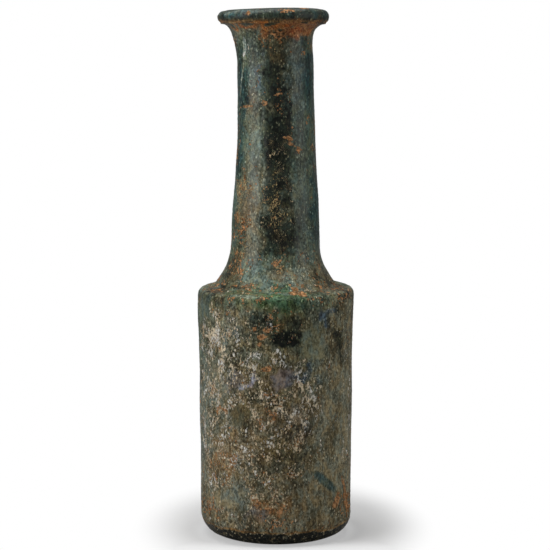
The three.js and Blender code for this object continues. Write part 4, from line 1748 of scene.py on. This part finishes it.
@dataclass(frozen=True)
class WeatheredGlass:
    """Finish of the glass: dark glass under a streaked film, with grains, scale and soil on it.

    Attributes:
        name: The material's name.
        glass: Colour of the bare glass.
        gloss: Its roughness.
        film_cover: How much of the glass the film hides, from 0 to 1.
        film_light: How bright the film is beside its painted tone, where it lies thick.
        film_depth: How bright it is beside the square of its tone, where it lies thin.
        film_mix: How much the broad cloud, the streaks and the dust each thicken it.
        film_span: Between which sums of those it goes from thin to thick.
        gathering: How strongly grains, scale and soil gather in clumps.
        stain: How much darker the film is where the grains gather.
        cover: How much the grains, the scale and the soil hide what they lie on.
        relief: How high soil, scale, grains, film and pits stand, in millimetres.
        stain_span: Between which values of the clumps the stain grows.
        pit_share, hole_share, powder_share: How many there are, as a slope on the clumps and a start.
        pit_cover: How much the pits hide in dull and in glossy glass.
        pit_glass: How much of the bare glass's colour shows in a pit.
        hole_cover, powder_cover, crumb_cover: How much those hide.
        crumb_density, grain_density: How dense those lie.
        grain_matt: How much of a grain counts as crust for the roughness.
        hue_span, scale_span, soil_span: Between which values of their cloud the two colours change over.
        gold_span: Between which sheens the grains turn from sand to gold.
    """

    name: str
    glass: Colour = srgb(14, 18, 14)
    gloss: float = 0.28
    film_cover: float = 0.86
    film_light: float = 1.6
    film_depth: float = 1.25
    film_roughness: float = 0.5
    film_mix: tuple[float, float, float] = (1.3, 0.8, 1.6)
    film_span: tuple[float, float] = (1.4, 2.3)
    crust_roughness: float = 0.9
    gathering: float = 1.8
    stain: float = 0.75
    stain_span: tuple[float, float] = (-0.15, 0.3)
    pit_share: tuple[float, float] = (-0.5, 0.5)
    pit_cover: tuple[float, float] = (0.9, 0.4)
    pit_glass: float = 0.35
    hole_share: tuple[float, float] = (0.2, 0.3)
    hole_cover: float = 0.7
    powder_share: tuple[float, float] = (0.3, 0.3)
    powder_cover: float = 0.8
    crumb_density: float = 0.5
    crumb_cover: float = 0.8
    grain_density: float = 0.8
    grain_matt: float = 0.7
    hue_span: tuple[float, float] = (0.4, 0.6)
    scale_span: tuple[float, float] = (0.42, 0.6)
    soil_span: tuple[float, float] = (0.38, 0.62)
    gold_span: tuple[float, float] = (0.2, 0.5)
    cover: tuple[float, float, float] = (0.92, 0.96, 0.95)
    relief: tuple[float, ...] = (0.4, 0.34, 0.2, 0.08, -0.24)
    warm_tint: Colour = (1.13, 1.0, 0.78)
    cool_tint: Colour = (0.88, 1.0, 1.06)
    soil_dark: Colour = srgb(142, 98, 60)
    soil_bright: Colour = srgb(212, 158, 110)
    scale_warm: Colour = srgb(240, 222, 190)
    scale_cool: Colour = srgb(238, 236, 228)
    grain: Colour = srgb(228, 206, 170)
    gold: Colour = srgb(196, 172, 122)
    powder: Colour = srgb(92, 86, 66)
    powder_light: Colour = (1.3, 1.3, 1.3)
    broad_cloud: Cloud = Cloud(9.0, 1.5)
    streaks: Cloud = Cloud(1.8, 5.0, 4.0, 3.0)
    dust: Cloud = Cloud(0.85, 1.6, 3.0, 5.0)
    clumps: Cloud = Cloud(4.2, 1.5, 4.0, 21.0)
    hue_cloud: Cloud = Cloud(3.0, 1.5, 3.0, 6.0)
    scale_cloud: Cloud = Cloud(6.0, 1.0, 2.0, 15.0)
    soil_cloud: Cloud = Cloud(1.4, 1.0, 3.0, 19.0)
    crumbs: Grit = Grit(0.45, 1.2, 31.0, 0.05)
    gaps: Grit = Grit(1.5, 1.5, 7.0, 0.09)
    pits: Grit = Grit(0.8, 1.6, 9.0, 0.04)
    holes: Grit = Grit(0.9, 1.4, 27.0)
    powder_dots: Grit = Grit(1.0, 1.5, 23.0)
    grains: Grit = Grit(0.8, 1.5, 11.0)
    gold_size: float = 0.55
    scales: Grit = Grit(0.95, 1.6, 13.0)
    soils: Grit = Grit(1.05, 1.0, 17.0)

    def build(self, effects: Effects) -> bpy.types.Material:
        """Makes the material.

        Args:
            effects: The shared shader groups.

        Returns:
            The material.
        """
        surface = Surface(self.name, effects)
        painted = {trace: surface.attribute(trace.value) for trace in Trace}
        tone = surface.attribute("tone", "Color")
        sheen, rugged = painted[Trace.SHEEN], surface.rest(painted[Trace.SMOOTH])
        clouds = [surface.cloud(look) for look in (self.broad_cloud, self.streaks, self.dust)]
        lumps = surface.line(surface.cloud(self.clumps), self.gathering, -0.5 * self.gathering)

        thick = surface.total(*(surface.product(*pair) for pair in zip(clouds, self.film_mix)))
        deep = surface.scaled(surface.vector("MULTIPLY", tone, tone), self.film_depth)
        clear = surface.scaled(tone, self.film_light)
        film = surface.blend(surface.ramp(thick, *self.film_span), deep, clear)
        cool = surface.ramp(surface.cloud(self.hue_cloud), *self.hue_span)
        film = surface.vector("MULTIPLY", film, surface.blend(cool, self.warm_tint, self.cool_tint))
        clumped = surface.ramp(lumps, *self.stain_span)
        stained = surface.product(clumped, painted[Trace.GRAIN], self.stain, rugged)
        film = surface.scaled(film, surface.rest(stained))
        # The film is lost and the dark glass shows where the bare trace lies, which is in places painted
        # shade.
        cover = surface.product(surface.rest(surface.flecks(painted[Trace.BARE], self.gaps)), self.film_cover)
        colour = surface.blend(cover, self.glass, film)

        pits = surface.flecks(surface.line(lumps, *self.pit_share), self.pits)
        pits = surface.product(pits, surface.between(sheen, *self.pit_cover))
        holes = surface.dots(surface.line(lumps, *self.hole_share), self.holes)
        pits = surface.product(surface.largest(pits, surface.product(holes, self.hole_cover)), rugged)
        colour = surface.blend(pits, colour, surface.blend(self.pit_glass, deep, self.glass))
        powder = surface.dots(surface.line(lumps, *self.powder_share), self.powder_dots)
        lighter = surface.vector("MULTIPLY_ADD", clear, self.powder_light, self.powder)
        colour = surface.blend(surface.product(powder, self.powder_cover, rugged), colour, lighter)

        solid = surface.line(surface.flecks(self.crumb_density, self.crumbs), -self.crumb_cover, 1.0)
        gathering = Gathering(surface, lumps, solid)
        shiny = surface.ramp(sheen, *self.gold_span)
        fine = surface.between(shiny, self.grains.size, self.gold_size)
        grains = gathering.lay(surface.product(painted[Trace.GRAIN], self.grain_density), self.grains, fine)
        scales = gathering.lay(painted[Trace.SCALE], self.scales)
        soils = gathering.lay(painted[Trace.SOIL], self.soils)
        sand = surface.blend(shiny, self.grain, self.gold)
        pale = surface.ramp(surface.cloud(self.scale_cloud), *self.scale_span)
        pale = surface.blend(pale, self.scale_warm, self.scale_cool)
        earth = surface.ramp(surface.cloud(self.soil_cloud), *self.soil_span)
        earth = surface.blend(earth, self.soil_dark, self.soil_bright)
        for mask, share, over in zip((grains, scales, soils), self.cover, (sand, pale, earth)):
            colour = surface.blend(surface.product(mask, share), colour, over)

        crusted = surface.largest(soils, scales, surface.product(grains, self.grain_matt))
        rough = surface.between(cover, self.gloss, self.film_roughness)
        layers = (soils, scales, grains, surface.total(*clouds[1:]), pits)
        raised = surface.total(*(surface.product(*pair) for pair in zip(layers, self.relief)))
        return surface.finish({
            "Base Color": colour,
            "Roughness": surface.between(crusted, rough, self.crust_roughness),
            "Normal": surface.bump(raised),
            "IOR": 1.5,
            "Specular IOR Level": 0.15,
            "Coat Weight": surface.product(sheen, surface.rest(crusted)),
            "Coat Roughness": 0.36,
            "Coat IOR": 1.5,
        })


@dataclass(frozen=True)
class Crust:
    """Finish of a hard crust: an uneven matte earth or scale in two colours."""

    name: str
    dark: Colour
    bright: Colour
    broad: Cloud = Cloud(2.2)
    fine: Cloud = Cloud(0.7, detail=2.0, shift=4.0)
    fine_share: float = 0.7
    mixed_span: tuple[float, float] = (0.65, 1.05)
    relief: float = 0.3

    def build(self, effects: Effects) -> bpy.types.Material:
        """Makes the material.

        Args:
            effects: The shared shader groups.

        Returns:
            The material.
        """
        surface = Surface(self.name, effects)
        broad, fine = surface.cloud(self.broad), surface.cloud(self.fine)
        mixed = surface.total(broad, surface.product(fine, self.fine_share))
        return surface.finish({
            "Base Color": surface.blend(surface.ramp(mixed, *self.mixed_span), self.dark, self.bright),
            "Roughness": surface.ramp(broad, 0.3, 0.7, 0.82, 0.98),
            "Normal": surface.bump(surface.product(fine, self.relief), 0.7),
            "Specular IOR Level": 0.25,
        })


@dataclass(frozen=True)
class SnappedGlass:
    """Finish of broken glass: dark and glossy, with earth in its hollows."""

    name: str
    glass: Colour = srgb(26, 44, 38)
    earth: Colour = srgb(112, 76, 48)
    uneven: Cloud = Cloud(1.4, detail=3.0)
    hollows: Grit = Grit(1.6, edge=0.05)
    relief: float = 0.5

    def build(self, effects: Effects) -> bpy.types.Material:
        """Makes the material.

        Args:
            effects: The shared shader groups.

        Returns:
            The material.
        """
        surface = Surface(self.name, effects)
        dirt = surface.flecks(0.5, self.hollows)
        return surface.finish({
            "Base Color": surface.blend(dirt, self.glass, self.earth),
            "Roughness": surface.between(dirt, 0.22, 0.9),
            "Normal": surface.bump(surface.product(surface.cloud(self.uneven), self.relief), 0.8),
            "IOR": 1.5,
        })


# Studio


@dataclass(frozen=True)
class SoftBox:
    """A tall soft lamp that faces the bottle, in metres and degrees from the front."""

    name: str
    azimuth: float
    distance: float
    height: float
    wide: float
    tall: float
    radiance: float

    def place(self, aim: Vector) -> None:
        """Puts the lamp in the scene.

        Args:
            aim: The point that it faces.
        """
        light = bpy.data.lights.new(self.name, "AREA")
        light.shape = "RECTANGLE"
        light.size, light.size_y = self.wide, self.tall
        light.energy = self.radiance * math.pi * self.wide * self.tall
        lamp = bpy.data.objects.new(self.name, light)
        turn = math.radians(self.azimuth)
        lamp.location = (self.distance * math.sin(turn), -self.distance * math.cos(turn), self.height)
        lamp.rotation_euler = (aim - lamp.location).to_track_quat("-Z", "Y").to_euler()
        lamp.visible_camera = False
        bpy.context.scene.collection.objects.link(lamp)


@dataclass
class Studio:
    """The camera, lamps, floor and white surroundings, in metres.

    Attributes:
        camera_aside: How far to the right of the bottle the camera is.
        camera_pitch: How far it looks down.
        aim: The point that the lamps face.
        floor_shown: How light the floor is to the camera.
        floor_bounce: How much light it throws back.
        ambient: How light the surroundings are.
        backdrop_gloss: How much lighter what is behind the bottle is in its gloss.
        dim_gloss: How light the rest is there.
        shade_centre: The middle of the oval outside which painted white light covers the shadow that the
            camera sees.
        shade_shape: How the distances from there are weighed.
        shade_fade: The distances between which that painted white covers the shadow.
        front_fade: The places in front of the bottle up to which painted white lights half the shadow.
        under_fade: The distances from the axis between which the dark under the base fades.
        under_lit: How much that dark is lit up by painted white.
    """

    camera_distance: float = 0.8
    camera_height: float = 0.214
    camera_aside: float = -0.0002
    camera_pitch: float = math.radians(6.7514)
    lens: float = 115.0
    sensor: float = 36.0
    aim: Vector = field(default_factory=lambda: Vector((0.0, 0.0, 0.12)))
    boxes: tuple[SoftBox, ...] = (
        SoftBox("left_box", -66.0, 0.75, 0.30, 0.42, 0.80, 3.6),
        SoftBox("right_box", 72.0, 0.75, 0.30, 0.50, 0.80, 1.45),
        SoftBox("top_box", -90.0, 0.08, 1.0, 1.0, 1.0, 3.8),
    )
    floor_radius: float = 0.5
    floor_shown: float = 0.66
    floor_bounce: float = 0.25
    ambient: float = 0.11
    backdrop_gloss: float = 0.15
    backdrop_span: tuple[float, float] = (0.3, 0.9)
    dim_gloss: float = 0.04
    shade_centre: tuple[float, float, float] = (0.004, 0.008, 0.0)
    shade_shape: tuple[float, float, float] = (1.0, 0.7, 1.0)
    shade_fade: tuple[float, float] = (0.043, 0.072)
    front_fade: tuple[float, float] = (-0.036, -0.018)
    under_fade: tuple[float, float] = (0.04, 0.03)
    under_lit: float = 0.4

    def build(self) -> None:
        """Sets the whole studio up."""
        self.place_camera()
        for box in self.boxes:
            box.place(self.aim)
        self.lay_floor()
        self.light_world()
        bpy.context.scene.view_settings.view_transform = "Standard"

    def place_camera(self) -> None:
        """Makes the camera at the photograph's viewpoint."""
        data = bpy.data.cameras.new("camera")
        data.lens = self.lens
        data.sensor_width = self.sensor
        camera = bpy.data.objects.new("camera", data)
        camera.location = (self.camera_aside, -self.camera_distance, self.camera_height)
        camera.rotation_euler = (math.pi / 2 - self.camera_pitch, 0.0, 0.0)
        bpy.context.scene.collection.objects.link(camera)
        bpy.context.scene.camera = camera

    def lay_floor(self) -> None:
        """Lays a white round floor that keeps the bottle's soft shadow near it, trimmed to an oval and lit up
        in front of and under the base by painted white light, and fades into the backdrop.
        """
        bm = bmesh.new()
        bmesh.ops.create_circle(bm, cap_ends=True, cap_tris=False, segments=96, radius=self.floor_radius)
        floor = make_piece(bm, "floor")
        material = bpy.data.materials.new("floor_white")
        material.use_nodes = True
        graph = Graph(material.node_tree)
        point = graph.node("ShaderNodeTexCoord").outputs["Object"]
        oval = graph.vector("MULTIPLY", graph.vector("SUBTRACT", point, self.shade_centre), self.shade_shape)
        ahead = graph.node("ShaderNodeSeparateXYZ", {0: point}).outputs["Y"]
        camera_ray = graph.node("ShaderNodeLightPath").outputs["Is Camera Ray"]
        under = graph.ramp(graph.length(point), *self.under_fade)
        # Painted light: the share of white that the camera sees in place of the lit floor, outside an oval
        # round the shadow, in front of the bottle and under the base.
        painted_white_share = graph.largest(
            graph.ramp(graph.length(oval), *self.shade_fade),
            graph.ramp(ahead, *self.front_fade, 0.5, 0.0),
            graph.product(under, self.under_lit),
        )
        paper = graph.between(camera_ray, self.floor_bounce, self.floor_shown)
        lit = graph.node("ShaderNodeBsdfDiffuse", {"Color": paper}).outputs[0]
        white = graph.node("ShaderNodeEmission", {"Color": WHITE, "Strength": 1.0}).outputs[0]
        mixed = graph.node("ShaderNodeMixShader", {0: graph.product(camera_ray, painted_white_share), 1: lit, 2: white})
        graph.node("ShaderNodeOutputMaterial", {"Surface": mixed.outputs[0]})
        floor.data.materials.append(material)

    def light_world(self) -> None:
        """Makes the surroundings white to the camera, pale behind the bottle and dim elsewhere."""
        world = bpy.data.worlds.new("studio")
        bpy.context.scene.world = world
        world.use_nodes = True
        graph = Graph(world.node_tree)
        path = graph.node("ShaderNodeLightPath")
        mirrored = graph.largest(path.outputs["Is Glossy Ray"], path.outputs["Is Transmission Ray"])
        way = graph.node("ShaderNodeTexCoord").outputs["Generated"]
        behind = graph.ramp(graph.node("ShaderNodeSeparateXYZ", {0: way}).outputs["Y"], *self.backdrop_span)
        backdrop = graph.line(behind, self.backdrop_gloss, self.dim_gloss)
        strength = graph.between(mirrored, self.ambient, backdrop)
        strength = graph.between(path.outputs["Is Camera Ray"], strength, 1.0)
        surround = graph.node("ShaderNodeBackground", {"Color": WHITE, "Strength": strength})
        graph.node("ShaderNodeOutputWorld", {"Surface": surround.outputs[0]})


# Assembly


@dataclass
class Bottle:
    """The dressed bottle."""

    form: BottleForm = field(default_factory=BottleForm.from_solids)

    def build(self) -> None:
        """Builds every piece and dresses it."""
        effects = Effects()
        skin = GlassSkin(self.form)
        paint = Weathering(self.form).paint(skin.exact, skin.outside)
        body_finish = WeatheredGlass("weathered_body_glass").build(effects)
        lip_finish = WeatheredGlass("lip_glass", glass=srgb(16, 28, 28), gloss=0.25).build(effects)
        for stage in Stage:
            is_lip = stage is Stage.LIP
            finish, slot = (lip_finish, Slot.LIP_GLASS) if is_lip else (body_finish, Slot.BODY_GLASS)
            self.seat(GlassStage(skin, stage, paint).build(), stage.value, slot, finish)
        scar = ScarPiece()
        scar_finish = SnappedGlass("snapped_glass").build(effects)
        self.seat(scar.build(), scar.solid, Slot.LIP_GLASS, scar_finish)
        crust_finishes = {
            Slot.SOIL: Crust("soil_crust", srgb(124, 82, 48), srgb(204, 150, 102)).build(effects),
            Slot.SCALE: Crust("scale_crust", srgb(150, 136, 112), srgb(208, 200, 184)).build(effects),
        }
        for seed, plan in enumerate(CRUSTS, start=20):
            crust = CrustPiece(skin, plan, seed).build()
            self.seat(crust, plan.solid, plan.slot, crust_finishes[plan.slot])

    def seat(self, piece: bpy.types.Object, solid: str, slot: Slot, finish: bpy.types.Material) -> None:
        """Fixes a piece to the part, gives it its finish and hides the solid that it stands for.

        Args:
            piece: The piece.
            solid: The solid that it stands for.
            slot: The material slot that it takes its finish from; not used.
            finish: Its material.
        """
        piece.data.materials.append(finish)
        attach(piece, BODY)
        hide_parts(solid)
        LOG.info("%s: %d faces", piece.name, len(piece.data.polygons))


def main() -> None:
    """Builds the studio and the bottle."""
    logging.basicConfig(level=logging.INFO, format="%(name)s: %(message)s")
    Studio().build()
    Bottle().build()


if __name__ == "__main__":
    main()
